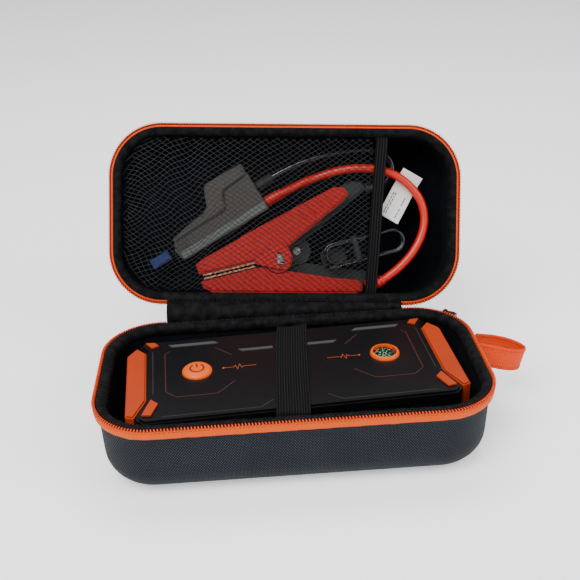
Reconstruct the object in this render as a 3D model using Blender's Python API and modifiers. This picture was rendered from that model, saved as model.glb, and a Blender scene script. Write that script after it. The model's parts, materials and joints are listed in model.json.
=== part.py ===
"""Jump starter kit: a zipped fabric case, the power unit strapped in its base, clamps and cables in its lid.

Metres, +Z up. The origin is the middle of the base's flat underside. +X is the long side and -Y is the
front. The lid is drawn shut, in case coordinates, and its parent empty swings it open about the hinge.
"""
import math

import bmesh
import bpy
from mathutils import Matrix, Vector
from mathutils.geometry import interpolate_bezier

MM = 0.001
GAP = 0.3

# Case, in millimetres
CASE_X = 111.0          # half length over the zip tape
CASE_Y = 57.0           # half width over the zip tape
CASE_R = 33.5           # corner radius of the tape
RIM_Z = 48.0            # height of the parting plane
LID_DEPTH = 42.0
WALL = 3.2
SHELL_INSET = 2.7       # shell face, inside the tape face
SHELL_EDGE = 7.3        # shell stops this far short of the parting plane
FLOOR_ROUND = 17.0
LID_ROUND = 15.0
TAPE_HIGH = 5.6
TAPE_THICK = 1.4
BINDING_IN = 7.6        # inner face of the rim binding
HINGE_HALF = 74.0       # the fabric hinge runs along the straight back edge

# Lid hinge
OPEN_ANGLE = 115.0
HINGE_SKEW = -2.5       # the fabric hinge lets the lid sit a little askew
HINGE_X = 63.6
HINGE_Y = CASE_Y + 1.1

# Power unit, in its own frame
UNIT_AT = (0.7, 1.7)
UNIT_TURN = 3.6
UNIT_X = 84.1           # half length of the body between the end caps
UNIT_Y = 41.5
FLARE = 5.9             # how far the corners reach out round the end caps
CAP_FRONT = 18.6        # where the end caps start to slope in, in front and behind
CAP_BACK = 31.0
UNIT_FLOOR = 10.0
UNIT_SPLIT = 40.0
UNIT_TOP = 44.3
UNIT_WALL = 2.2
CAP_X = 95.6
KEY_X = 55.1            # button and compass stand this far each side of the middle
KEY_Y = 3.8
BUTTON_R = 8.7
BUTTON_TRAVEL = 0.8

# Clamps, in case coordinates with the lid shut
PIVOT = (-4.0, 28.0)
CLAMP_LOW = 5.6         # height above the parting plane
CLAMP_THICK = 12.0
BLACK_SHIFT = (12.0, -5.0)
BLACK_LIFT = 16.0
CABLE_D = 5.4

COLLECTION = bpy.data.collections.new("jump_starter_pack")
CUTTERS = bpy.data.collections.new("cutters")

COLOURS = {
    "shell_fabric": ((0.018, 0.020, 0.026), 0.85, 0.0),
    "binding_fabric": ((0.010, 0.010, 0.012), 0.90, 0.0),
    "orange_tape": ((0.85, 0.16, 0.03), 0.65, 0.0),
    "zip_coil": ((0.55, 0.09, 0.02), 0.45, 0.0),
    "elastic": ((0.012, 0.012, 0.013), 0.80, 0.0),
    "net": ((0.015, 0.015, 0.016), 0.80, 0.0),
    "foam": ((0.02, 0.02, 0.022), 0.95, 0.0),
    "slider_metal": ((0.03, 0.03, 0.03), 0.35, 0.8),
    "unit_black": ((0.012, 0.012, 0.014), 0.45, 0.0),
    "orange_plastic": ((0.80, 0.14, 0.02), 0.42, 0.0),
    "trim_grey": ((0.08, 0.085, 0.09), 0.30, 0.5),
    "clear_lens": ((0.75, 0.80, 0.80), 0.05, 0.0),
    "compass_card": ((0.02, 0.10, 0.06), 0.40, 0.0),
    "cell_foil": ((0.45, 0.46, 0.48), 0.35, 0.4),
    "circuit_board": ((0.02, 0.14, 0.06), 0.50, 0.0),
    "switch_metal": ((0.55, 0.55, 0.56), 0.35, 0.9),
    "socket_plastic": ((0.02, 0.08, 0.40), 0.45, 0.0),
    "rubber": ((0.015, 0.015, 0.016), 0.75, 0.0),
    "screw_steel": ((0.40, 0.40, 0.41), 0.35, 0.9),
    "module_grey": ((0.060, 0.058, 0.052), 0.55, 0.0),
    "module_light": ((0.115, 0.115, 0.100), 0.55, 0.0),
    "clamp_red": ((0.62, 0.035, 0.02), 0.40, 0.0),
    "clamp_black": ((0.012, 0.012, 0.013), 0.42, 0.0),
    "cable_red": ((0.65, 0.04, 0.02), 0.38, 0.0),
    "cable_black": ((0.012, 0.012, 0.013), 0.40, 0.0),
    "copper": ((0.55, 0.24, 0.10), 0.35, 0.9),
    "spring_steel": ((0.45, 0.45, 0.46), 0.30, 0.9),
    "label_white": ((0.70, 0.70, 0.66), 0.70, 0.0),
}


def clear_scene():
    for obj in list(bpy.data.objects):
        bpy.data.objects.remove(obj, do_unlink=True)
    bpy.context.scene.collection.children.link(COLLECTION)
    bpy.context.scene.collection.children.link(CUTTERS)


def make_material(name):
    colour, roughness, metallic = COLOURS[name]
    material = bpy.data.materials.new(name)
    material.use_nodes = True
    shader = material.node_tree.nodes["Principled BSDF"]
    shader.inputs["Base Color"].default_value = (*colour, 1.0)
    shader.inputs["Roughness"].default_value = roughness
    shader.inputs["Metallic"].default_value = metallic
    return material


def material_for(name):
    return bpy.data.materials.get(name) or make_material(name)


def add_part(name, mesh, material, parent=None):
    obj = bpy.data.objects.new(name, mesh)
    COLLECTION.objects.link(obj)
    mesh.materials.append(material_for(material))
    obj.parent = parent
    return obj


def add_empty(name, at, turn=0.0, parent=None):
    empty = bpy.data.objects.new(name, None)
    empty.location = Vector(at) * MM
    empty.rotation_euler = (0.0, 0.0, math.radians(turn))
    empty.parent = parent
    COLLECTION.objects.link(empty)
    return empty


# Outlines, in millimetres

def rounded_rect(half_x, half_y, radius, steps=8):
    points = []
    for sx, sy, start in ((1, 1, 0), (-1, 1, 90), (-1, -1, 180), (1, -1, 270)):
        for i in range(steps + 1):
            angle = math.radians(start + 90 * i / steps)
            x = sx * (half_x - radius) + radius * math.cos(angle)
            y = sy * (half_y - radius) + radius * math.sin(angle)
            points.append((x, y))
    return points


def case_outline(inset, steps=8):
    return rounded_rect(CASE_X - inset, CASE_Y - inset, CASE_R - inset, steps)


def circle(radius, centre=(0.0, 0.0), steps=24):
    angles = (2 * math.pi * i / steps for i in range(steps))
    return [(centre[0] + radius * math.cos(a), centre[1] + radius * math.sin(a)) for a in angles]


def box_outline(x0, x1, y0, y1):
    return [(x0, y0), (x1, y0), (x1, y1), (x0, y1)]


def mirrored(points, flip):
    return [(x * flip, y) for x, y in points]


def shifted(points, shift):
    return [(x + shift[0], y + shift[1]) for x, y in points]


# Meshes

def finish_mesh(bm, name):
    bmesh.ops.remove_doubles(bm, verts=bm.verts, dist=1e-6)
    bmesh.ops.recalc_face_normals(bm, faces=bm.faces)
    mesh = bpy.data.meshes.new(name)
    bm.to_mesh(mesh)
    bm.free()
    mesh.set_sharp_from_angle(angle=math.radians(35))
    return mesh


def prism_mesh(name, outline, low, high, edge=0.0, steps=2):
    """A flat outline raised from low to high, its top and bottom edges rounded by edge."""
    bm = bmesh.new()
    verts = [bm.verts.new((x * MM, y * MM, low * MM)) for x, y in outline]
    face = bm.faces.new(verts)
    raised = bmesh.ops.extrude_face_region(bm, geom=[face])["geom"]
    moved = [v for v in raised if isinstance(v, bmesh.types.BMVert)]
    bmesh.ops.translate(bm, verts=moved, vec=(0.0, 0.0, (high - low) * MM))
    bmesh.ops.recalc_face_normals(bm, faces=bm.faces)
    if edge:
        flat = [f for f in bm.faces if abs(f.normal.z) > 0.9]
        rims = {e for f in flat for e in f.edges}
        bmesh.ops.bevel(bm, geom=list(rims), offset=edge * MM, segments=steps, affect="EDGES")
    return finish_mesh(bm, name)


def prism(name, outline, low, high, material, parent=None, edge=0.0, steps=2):
    return add_part(name, prism_mesh(name, outline, low, high, edge, steps), material, parent)


def add_cutter(name, mesh, parent=None):
    cutter = bpy.data.objects.new(name, mesh)
    CUTTERS.objects.link(cutter)
    cutter.hide_render = True
    cutter.display_type = "WIRE"
    cutter.parent = parent
    return cutter


def prism_cutter(name, outline, low, high, parent=None):
    return add_cutter(name, prism_mesh(name, outline, low, high), parent)


def boolean(obj, cutter, operation="DIFFERENCE"):
    modifier = obj.modifiers.new(cutter.name, "BOOLEAN")
    modifier.operation = operation
    modifier.object = cutter


def ring(name, outer, inner, low, high, material, parent=None, edge=0.0):
    part = prism(name, outer, low, high, material, parent, edge)
    boolean(part, prism_cutter(name + "_bore", inner, low - 5, high + 5, parent))
    return part


def tub_mesh(name, inset, low, high, rounding, open_up):
    """A thin box with rounded corners and floor, open at the parting plane."""
    half = (CASE_X - inset, CASE_Y - inset)
    bm = bmesh.new()
    bmesh.ops.create_cube(bm, size=1.0)
    scale = (2 * half[0] * MM, 2 * half[1] * MM, (high - low) * MM)
    bmesh.ops.scale(bm, verts=bm.verts, vec=scale)
    bmesh.ops.translate(bm, verts=bm.verts, vec=(0.0, 0.0, (low + high) / 2 * MM))
    upright = [e for e in bm.edges if abs((e.verts[0].co - e.verts[1].co).z) > 1e-6]
    bmesh.ops.bevel(
        bm, geom=upright, offset=(CASE_R - inset) * MM, segments=9, affect="EDGES", profile=0.5
    )
    floor_z = low * MM if open_up else high * MM
    open_z = high * MM if open_up else low * MM
    bm.faces.ensure_lookup_table()
    mouth = [f for f in bm.faces if all(abs(v.co.z - open_z) < 1e-7 for v in f.verts)]
    bmesh.ops.delete(bm, geom=mouth, context="FACES_ONLY")
    edges = [e for e in bm.edges if all(abs(v.co.z - floor_z) < 1e-7 for v in e.verts)]
    bmesh.ops.bevel(bm, geom=edges, offset=rounding * MM, segments=4, affect="EDGES", profile=0.5)
    bmesh.ops.recalc_face_normals(bm, faces=bm.faces)
    middle = Vector((0.0, 0.0, (low + high) / 2 * MM))
    outside = max(bm.faces, key=lambda f: f.calc_center_median().x)
    if outside.normal.dot(outside.calc_center_median() - middle) < 0:
        bmesh.ops.reverse_faces(bm, faces=bm.faces)
    mesh = bpy.data.meshes.new(name)
    bm.to_mesh(mesh)
    bm.free()
    return mesh


def tub(name, low, high, rounding, open_up, parent=None):
    mesh = tub_mesh(name, SHELL_INSET, low, high, rounding, open_up)
    part = add_part(name, mesh, "shell_fabric", parent)
    wall = part.modifiers.new("wall", "SOLIDIFY")
    wall.thickness = WALL * MM
    wall.offset = -1.0
    wall.use_even_offset = True
    return part


def tube(name, route, diameter, material, parent=None, spacing=2.4, sides=2):
    """A round cord through the route's points, on a smooth curve."""
    points = smooth_route(route, diameter * spacing)
    curve = bpy.data.curves.new(name, "CURVE")
    curve.dimensions = "3D"
    curve.bevel_depth = diameter / 2 * MM
    curve.bevel_resolution = sides
    curve.use_fill_caps = True
    spline = curve.splines.new("POLY")
    spline.points.add(len(points) - 1)
    for point, co in zip(spline.points, points):
        point.co = (*(co * MM), 1.0)
    curve.materials.append(material_for(material))
    obj = bpy.data.objects.new(name, curve)
    COLLECTION.objects.link(obj)
    obj.parent = parent
    return obj


def smooth_route(route, spacing):
    """Points about spacing apart on a smooth curve through the route."""
    route = [Vector(p) for p in route]
    dense = []
    for i in range(len(route) - 1):
        before = route[max(i - 1, 0)]
        after = route[min(i + 2, len(route) - 1)]
        first = route[i] + (route[i + 1] - before) / 6
        second = route[i + 1] - (after - route[i]) / 6
        dense += interpolate_bezier(route[i], first, second, route[i + 1], 12)[:-1]
    dense.append(route[-1])
    steps = [0.0]
    for a, b in zip(dense, dense[1:]):
        steps.append(steps[-1] + (b - a).length)
    count = max(2, round(steps[-1] / spacing))
    points = []
    at = 0
    for i in range(count + 1):
        want = steps[-1] * i / count
        while at < len(steps) - 2 and steps[at + 1] < want:
            at += 1
        share = (want - steps[at]) / (steps[at + 1] - steps[at])
        points.append(dense[at].lerp(dense[at + 1], share))
    return points


def ribbon(name, path, across, thick, material, parent=None):
    """Webbing of one thickness: path runs along its middle, across is half its width at each point."""
    bm = bmesh.new()
    rows = [Vector(p) for p in path]
    verts = []
    for i, centre in enumerate(rows):
        side = Vector(across[i]) if isinstance(across[0], tuple) else Vector(across)
        verts.append([bm.verts.new((centre - side) * MM), bm.verts.new((centre + side) * MM)])
    for a, b in zip(verts, verts[1:]):
        bm.faces.new((a[0], b[0], b[1], a[1]))
    mesh = bpy.data.meshes.new(name)
    bmesh.ops.recalc_face_normals(bm, faces=bm.faces)
    bm.to_mesh(mesh)
    bm.free()
    part = add_part(name, mesh, material, parent)
    layer = part.modifiers.new("thickness", "SOLIDIFY")
    layer.thickness = thick * MM
    layer.offset = 0.0
    layer.use_even_offset = True
    return part


# Case

def zip_band(name, inset, thick, low, high, material, end_x, parent=None):
    """A band round the front and the two ends that stops where the fabric hinge starts."""
    part = ring(name, case_outline(inset), case_outline(inset + thick), low, high, material, parent)
    gap = box_outline(end_x[0], end_x[1], CASE_Y - 16, CASE_Y + 5)
    boolean(part, prism_cutter(name + "_end", gap, low - 5, high + 5, parent))
    return part


def make_case_side(side, parent):
    """Shell, binding, tape and zip teeth of the base (side -1) or of the lid (side +1)."""
    name = "lid" if side > 0 else "base"

    def span(a, b):
        return sorted((RIM_Z + side * a, RIM_Z + side * b))

    if side > 0:
        tub("lid_shell", *span(SHELL_EDGE, LID_DEPTH), LID_ROUND, False, parent)
    else:
        tub("base_shell", *span(SHELL_EDGE, RIM_Z), FLOOR_ROUND, True, parent)
    ring(
        name + "_rim_binding",
        case_outline(TAPE_THICK + GAP),
        case_outline(BINDING_IN),
        *span(GAP / 2, SHELL_EDGE - GAP),
        "binding_fabric",
        parent,
    )
    ends = (-HINGE_HALF - GAP, HINGE_HALF + GAP)
    tape_low = 0.9
    zip_band(
        name + "_zip_tape", 0.0, TAPE_THICK, *span(tape_low, tape_low + TAPE_HIGH), "orange_tape", ends,
        parent,
    )
    zip_band(name + "_zip_teeth", 0.1, 1.1, *span(GAP / 2, tape_low - GAP), "zip_coil", ends, parent)


def make_fabric_hinge():
    outline = box_outline(-HINGE_HALF, HINGE_HALF, CASE_Y - TAPE_THICK, CASE_Y)
    prism("fabric_hinge", outline, RIM_Z - 6.5, RIM_Z - 0.3, "binding_fabric")


def make_foam():
    outline = case_outline(SHELL_INSET + WALL + 12.5)
    prism("foam_pad", outline, WALL + GAP, UNIT_FLOOR - GAP, "foam", edge=1.5)


def make_elastic_strap():
    """The elastic band that holds the unit down, sewn in at the front and back walls."""
    top = UNIT_TOP + 1.1
    profile = [
        (-2.8, -48.7, top - 5.2),
        (-2.6, -45.6, top - 1.2),
        (-2.2, -42.0, top),
        (0.0, 0.0, top + 0.2),
        (3.0, 41.6, top),
        (3.6, 44.8, top - 1.2),
        (4.0, 47.9, top - 5.2),
    ]
    ribbon("elastic_strap", profile, (9.2, 0.0, 0.0), 1.2, "elastic")


def make_wrist_strap():
    """A loop of webbing sewn on its edge to the right end, over the zip tape."""
    sewn = CASE_X + 0.7
    path = [
        (sewn, 10.0, 39.3),
        (116.0, 9.0, 38.4),
        (123.0, 8.2, 36.8),
        (131.0, 8.4, 34.6),
        (137.5, 11.0, 32.6),
        (140.5, 15.5, 31.4),
        (138.5, 20.5, 31.6),
        (132.0, 23.6, 33.4),
        (123.5, 23.6, 36.0),
        (116.0, 22.4, 38.0),
        (sewn, 21.4, 39.3),
    ]
    ribbon("wrist_strap", path, (1.6, 0.0, 7.1), 1.5, "orange_tape")


def make_zip_slider():
    """The slider parked on the far right corner, with its tab hanging outside."""
    corner = math.radians(45)
    reach = CASE_R * math.cos(corner)
    at = (CASE_X - CASE_R + reach, CASE_Y - CASE_R + reach, RIM_Z)
    holder = add_empty("slider_place", at, 45.0)
    body = prism_mesh("zip_slider", box_outline(0.5, 4.6, -4.6, 4.6), -7.2, -0.6, 0.9)
    slider = add_part("zip_slider", body, "slider_metal", holder)
    slot = box_outline(2.6, 6.0, -2.0, 2.0)
    boolean(slider, prism_cutter("slider_slot", slot, -4.9, 2.0, holder))
    pivot = add_empty("pull_pivot", (6.2, 0.0, -3.0), 0.0, holder)
    tab = prism_mesh("zip_pull", rounded_rect(9.5, 3.2, 2.0, 4), -0.7, 0.7, 0.3)
    tab.transform(Matrix.Translation((0.0, 0.0, -9.2 * MM)) @ Matrix.Rotation(math.radians(90), 4, "Y"))
    pull = add_part("zip_pull", tab, "slider_metal", pivot)
    eye = prism_cutter("pull_eye", rounded_rect(2.2, 1.4, 1.0, 4), -3.0, 3.0, pivot)
    eye.rotation_euler = (0.0, math.radians(90), 0.0)
    eye.location = (0.0, 0.0, -13.5 * MM)
    boolean(pull, eye)


# Power unit

def unit_outline(grow=0.0):
    """The unit's plan: a long block whose corners flare out round the orange end caps."""
    x = UNIT_X + grow
    y = UNIT_Y + grow
    right = [
        (x + 1.4, -y),
        (x + FLARE - 1.0, -UNIT_Y + 3.6),
        (x + FLARE - 0.2, -UNIT_Y + 6.3),
        (x, -CAP_FRONT),
        (x, CAP_BACK),
        (x + FLARE - 1.8, UNIT_Y - 4.0),
        (x + 1.2, y),
    ]
    return right + [(-px, py) for px, py in reversed(right)]


def make_unit_body(unit):
    outline = unit_outline()
    bottom = prism(
        "unit_bottom_case", outline, UNIT_FLOOR, UNIT_SPLIT, "unit_black", unit, edge=2.5, steps=3
    )
    inner = prism_cutter(
        "unit_cavity", unit_outline(-UNIT_WALL), UNIT_FLOOR + UNIT_WALL, UNIT_SPLIT + 5, unit
    )
    boolean(bottom, inner)
    mouth = prism_cutter("unit_mouth", unit_outline(2.0), UNIT_SPLIT - 2.7, UNIT_SPLIT + 5, unit)
    boolean(bottom, mouth)
    cover = prism(
        "unit_top_cover", outline, UNIT_SPLIT - 2.4, UNIT_TOP, "unit_black", unit, edge=1.2
    )
    hollow = prism_cutter(
        "cover_hollow", unit_outline(-UNIT_WALL), UNIT_SPLIT - 8, UNIT_TOP - 2.2, unit
    )
    boolean(cover, hollow)
    for side in (-1, 1):
        hole = circle(BUTTON_R + GAP, (side * KEY_X, KEY_Y), 32)
        boolean(cover, prism_cutter(f"key_hole_{side}", hole, UNIT_SPLIT, UNIT_TOP + 5, unit))
    for side in (-1, 1):
        for bar, outline_at in enumerate(bar_outlines()):
            seat = grown(mirrored(outline_at, side), GAP)
            boolean(cover, prism_cutter(f"bar_seat_{side}_{bar}", seat, UNIT_TOP - 0.9, UNIT_TOP + 5, unit))


def grown(points, amount):
    cx = sum(p[0] for p in points) / len(points)
    cy = sum(p[1] for p in points) / len(points)
    return [
        (x + math.copysign(amount, x - cx), y + math.copysign(amount, y - cy)) for x, y in points
    ]


def bar_outlines():
    """The two trim bars on the right half of the top cover."""
    outer = [(41.0, 33.0), (68.5, 33.0), (71.0, 35.6), (43.6, 35.6)]
    inner = [(9.0, 21.4), (27.5, 21.4), (30.0, 23.8), (9.0, 23.8)]
    return outer, inner


def make_trim(unit):
    for side, word in ((-1, "left"), (1, "right")):
        for points, place in zip(bar_outlines(), ("outer", "inner")):
            name = f"trim_bar_{word}_{place}"
            prism(name, mirrored(points, side), UNIT_TOP - 0.6, UNIT_TOP + 0.3, "trim_grey", unit)
        front = [(81.6, -22.0), (77.7, -26.4), (81.6, -36.7), (86.6, -35.9)]
        back = [(84.6, 38.8), (79.2, 38.4), (76.8, 34.9), (80.8, 32.6)]
        low = UNIT_TOP + GAP
        for points, place in ((front, "front"), (back, "back")):
            name = f"corner_accent_{word}_{place}"
            prism(name, mirrored(points, side), low, low + 0.9, "orange_plastic", unit)


def make_end_caps(unit):
    """The orange buffers at both ends, and what they carry."""
    for side, word in ((-1, "left"), (1, "right")):
        inner = UNIT_X + GAP
        outline = [
            (inner, -CAP_FRONT),
            (inner + FLARE + 0.8, -UNIT_Y + 6.9),
            (CAP_X, -32.6),
            (CAP_X, 29.6),
            (inner + FLARE - 0.4, UNIT_Y - 3.8),
            (inner, CAP_BACK),
        ]
        cap = prism(
            f"{word}_end_cap", mirrored(outline, side), 13.0, UNIT_TOP - 1.0, "orange_plastic", unit,
            edge=0.9,
        )
        hollow = box_outline(UNIT_X - 4.0, CAP_X - 2.9, -16.0, 26.0)
        boolean(cap, prism_cutter(f"{word}_cap_core", mirrored(hollow, side), 15.5, UNIT_TOP - 8.0, unit))
    port = box_outline(CAP_X - 8, CAP_X + 5, -10.6, 10.6)
    right = bpy.data.objects["right_end_cap"]
    boolean(right, prism_cutter("socket_window", port, 17.0, 31.0, unit))
    left = bpy.data.objects["left_end_cap"]
    usb = box_outline(-CAP_X - 5, -CAP_X + 8, -8.0, 8.0)
    boolean(left, prism_cutter("usb_window", usb, 20.0, 28.0, unit))
    socket = prism(
        "jump_socket", box_outline(UNIT_X + 0.6, CAP_X - 3.4, -10.2, 10.2), 17.4, 30.6, "socket_plastic",
        unit, edge=0.8,
    )
    for y in (-5.0, 5.0):
        hole = circle(3.4, (0.0, 0.0), 20)
        bore = prism_cutter(f"socket_bore_{y:.0f}", hole, 0.0, 14.0, unit)
        bore.rotation_euler = (0.0, math.radians(90), 0.0)
        bore.location = ((UNIT_X + 3.0) * MM, y * MM, 24.0 * MM)
        boolean(socket, bore)
    port = prism(
        "usb_port", box_outline(-CAP_X + 1.2, -UNIT_X - 0.6, -7.4, 7.4), 20.4, 27.6, "switch_metal",
        unit, edge=0.4,
    )
    boolean(port, prism_cutter("usb_mouth", box_outline(-CAP_X - 3, -CAP_X + 9, -6.2, 6.2), 21.6, 26.4, unit))


def make_socket_cover(unit):
    """A rubber flap over the jump socket, hinged along its lower edge."""
    pivot = add_empty("cover_pivot", (CAP_X + 0.9, 0.0, 16.4), 0.0, unit)
    flap = prism_mesh("socket_cover", rounded_rect(7.6, 10.0, 2.0, 4), -0.6, 0.6, 0.3)
    flap.transform(Matrix.Translation((0.3 * MM, 0.0, 7.6 * MM)) @ Matrix.Rotation(math.radians(90), 4, "Y"))
    add_part("socket_cover", flap, "rubber", pivot)


def turned(name, profile, material, parent, at, steps=32):
    """A turned piece: the profile's (radius, height) points run down its outer side."""
    bm = bmesh.new()
    verts = [bm.verts.new((r * MM, 0.0, z * MM)) for r, z in profile]
    for a, b in zip(verts, verts[1:]):
        bm.edges.new((a, b))
    mesh = bpy.data.meshes.new(name)
    bm.to_mesh(mesh)
    bm.free()
    part = add_part(name, mesh, material, parent)
    part.location = Vector(at) * MM
    screw = part.modifiers.new("turn", "SCREW")
    screw.angle = 2 * math.pi
    screw.steps = steps
    screw.render_steps = steps
    screw.use_merge_vertices = True
    screw.merge_threshold = 0.00001
    return part


def make_keys(unit):
    """The power button with its switch, and the compass."""
    button = [
        (0.0, 2.4),
        (5.6, 2.3),
        (7.4, 1.9),
        (BUTTON_R - 0.2, 0.9),
        (BUTTON_R, 0.2),
        (BUTTON_R, -1.6),
        (0.0, -1.6),
    ]
    pivot = add_empty("button_place", (-KEY_X, KEY_Y, UNIT_TOP), 0.0, unit)
    turned("power_button", button, "orange_plastic", pivot, (0.0, 0.0, 0.0))
    bezel = [
        (BUTTON_R - 1.6, 1.9),
        (BUTTON_R - 0.6, 1.7),
        (BUTTON_R, 0.6),
        (BUTTON_R, -3.0),
        (2.4, -3.0),
        (2.4, -2.0),
        (BUTTON_R - 1.6, -2.0),
        (BUTTON_R - 1.6, 1.9),
    ]
    compass = (KEY_X, KEY_Y, UNIT_TOP)
    turned("compass_bezel", bezel, "orange_plastic", unit, compass)
    lens = [
        (0.0, 2.6),
        (3.4, 2.3),
        (5.6, 1.4),
        (6.8, 0.5),
        (6.8, -0.2),
        (0.0, -0.2),
    ]
    turned("compass_lens", lens, "clear_lens", unit, compass)
    card = [(0.0, -0.6), (6.4, -0.6), (6.4, -1.6), (0.0, -1.6)]
    spin = add_empty("card_place", compass, 0.0, unit)
    turned("compass_card", card, "compass_card", spin, (0.0, 0.0, 0.0))


def make_inside(unit):
    """Battery pack, board, switch and screws inside the unit."""
    cell_low = UNIT_FLOOR + UNIT_WALL + GAP
    prism(
        "battery_pack", rounded_rect(77.0, 36.0, 4.0, 3), cell_low, cell_low + 20.0, "cell_foil", unit,
        edge=2.5,
    )
    board_low = cell_low + 20.0 + GAP
    prism("main_board", rounded_rect(72.0, 32.0, 2.0, 3), board_low, board_low + 1.6, "circuit_board", unit)
    switch = box_outline(-KEY_X - 3.0, -KEY_X + 3.0, KEY_Y - 3.0, KEY_Y + 3.0)
    button_under = UNIT_TOP - 1.6 - BUTTON_TRAVEL
    prism("button_switch", switch, board_low + 1.6 + GAP, button_under - GAP, "switch_metal", unit)
    for i, side in enumerate((-1, 1)):
        screw = [(0.0, 0.0), (2.4, 0.0), (2.4, -1.0), (1.3, -1.2), (1.3, -2.0), (0.0, -2.0)]
        part = turned(f"case_screw_{i + 1}", screw, "screw_steel", unit, (side * 66.0, 0.0, 0.0), 16)
        part.rotation_euler = (math.pi, 0.0, 0.0)
        part.location.z = (UNIT_FLOOR + 0.2) * MM
        hole = circle(2.8, (side * 66.0, 0.0), 20)
        bottom = bpy.data.objects["unit_bottom_case"]
        boolean(bottom, prism_cutter(f"screw_hole_{i}", hole, UNIT_FLOOR - 3, UNIT_FLOOR + 5, unit))


# Lid contents

def lid_z(height):
    return RIM_Z + height


def make_pocket(lid):
    """The net over most of the lid, with its elastic edge."""
    edge_top = (57.0, -48.8)
    edge_low = (51.0, 48.8)
    full = rounded_rect(CASE_X - BINDING_IN - GAP, CASE_Y - BINDING_IN - GAP, CASE_R - BINDING_IN - GAP)
    net = prism("mesh_pocket", full, lid_z(2.4), lid_z(3.2), "net", lid)
    beyond = [(edge_top[0] + 1.3, -70.0), (130.0, -70.0), (130.0, 70.0), (edge_low[0] - 1.3, 70.0)]
    boolean(net, prism_cutter("net_edge", beyond, lid_z(-2.0), lid_z(8.0), lid))
    width = 7.4
    band = [
        (edge_top[0] + GAP, edge_top[1]),
        (edge_top[0] + GAP + width, edge_top[1]),
        (edge_low[0] + GAP + width, edge_low[1]),
        (edge_low[0] + GAP, edge_low[1]),
    ]
    prism("pocket_elastic", band, lid_z(2.0), lid_z(3.6), "elastic", lid, edge=0.3)


MODULE_TOP = 18.0       # depth below the rim; the red clamp swings open over it
MODULE = [
    (-28.9, -33.6),
    (-24.4, -26.7),
    (-10.3, -4.6),
    (-65.5, 29.4),
    (-71.5, 23.6),
    (-73.0, 15.6),
    (-63.0, 6.6),
    (-53.0, -1.1),
    (-51.0, -5.0),
    (-53.0, -18.2),
    (-51.0, -20.8),
]
SEAM = [
    (-71.6, 18.2),
    (-52.3, 5.3),
    (-41.5, -1.4),
    (-38.3, -5.6),
    (-39.6, -10.7),
    (-39.6, -15.8),
    (-25.6, -26.2),
]


def make_module(lid):
    """The control module between the plug and the clamp cables, in two shells."""
    lower = prism("module_lower_shell", MODULE, lid_z(22.3), lid_z(37.0), "module_light", lid, edge=1.6)
    deck = [*[(x + 0.35, y + 0.35) for x, y in SEAM], *MODULE[1:5]]
    boolean(lower, prism_cutter("module_deck", deck, lid_z(MODULE_TOP), lid_z(24.0), lid), "UNION")
    upper = [*SEAM, MODULE[0], MODULE[10], MODULE[9], MODULE[8], MODULE[7], MODULE[6], MODULE[5]]
    prism("module_upper_shell", upper, lid_z(MODULE_TOP), lid_z(22.0), "module_grey", lid, edge=1.2)
    holder = add_empty("plug_place", (-74.1, 25.2, lid_z(29.5)), 149.0, lid)
    plug = prism_mesh("jump_plug", box_outline(1.6, 15.0, -3.3, 3.3), -7.6, 7.6, 0.8)
    part = add_part("jump_plug", plug, "socket_plastic", holder)
    for z in (-3.7, 3.7):
        hole = circle(2.2, (0.0, 0.0), 16)
        bore = prism_cutter(f"plug_bore_{z:.0f}", hole, 6.0, 20.0, holder)
        bore.rotation_euler = (0.0, math.radians(90), 0.0)
        bore.location = (0.0, 0.0, z * MM)
        boolean(part, bore)


UPPER_HALF = [
    (-57.0, 32.0),
    (-54.6, 38.6),
    (-14.0, 28.6),
    (1.0, 21.4),
    (37.4, -9.6),
    (40.6, -13.6),
    (37.6, -17.6),
    (31.0, -18.2),
    (-16.0, 7.4),
    (-50.0, 27.0),
]
LOWER_HALF = [
    (-53.6, 43.0),
    (-14.0, 33.0),
    (-1.0, 35.4),
    (29.7, 39.9),
    (47.0, 41.4),
    (50.0, 44.0),
    (50.0, 48.4),
    (46.0, 49.8),
    (-46.0, 49.8),
    (-52.0, 47.0),
]
LUG_R = 9.0
LUG_THICK = 3.6
JAW_THICK = 0.7
JAW_TOOTH = 0.6


def clamp_half(name, outline, centre, low, lug_low, neck, material, parent):
    """One lever of a clamp: its body, and a lug that the rivet goes through."""
    high = low + CLAMP_THICK
    part = prism(name, outline, low, high, material, parent, edge=1.4)
    clear = prism_cutter(name + "_room", circle(LUG_R + 0.7, centre, 32), low - 5, high + 5, parent)
    boolean(part, clear)
    lug_high = lug_low + LUG_THICK
    lug = prism_cutter(name + "_lug", circle(LUG_R, centre, 32), lug_low, lug_high, parent)
    boolean(part, lug, "UNION")
    bridge = [(centre[0] + x, centre[1] + y) for x, y in neck]
    boolean(part, prism_cutter(name + "_neck", bridge, lug_low, lug_high, parent), "UNION")
    pin_hole = circle(3.0, centre, 20)
    boolean(part, prism_cutter(name + "_bore", pin_hole, low - 5, high + 5, parent))
    return part


def jaw_plate(name, start, end, offset, low, parent):
    """A toothed copper strip along one jaw; offset is the side of the jaw line it sits on."""
    along = Vector((end[0] - start[0], end[1] - start[1]))
    length = along.length
    along.normalize()
    across = Vector((-along.y, along.x)) * math.copysign(1.0, offset)
    teeth = 11
    face = abs(offset)
    points = [Vector(start) + across * (face + JAW_THICK), Vector(start) + across * face]
    for i in range(teeth):
        where = length * (i + 0.5) / teeth
        points.append(Vector(start) + along * where + across * (face - JAW_TOOTH))
        points.append(Vector(start) + along * (length * (i + 1) / teeth) + across * face)
    points.append(Vector(start) + along * length + across * (face + JAW_THICK))
    outline = [(p.x, p.y) for p in points]
    return prism(name, outline, low + 1.5, low + CLAMP_THICK - 1.5, "copper", parent)


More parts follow.
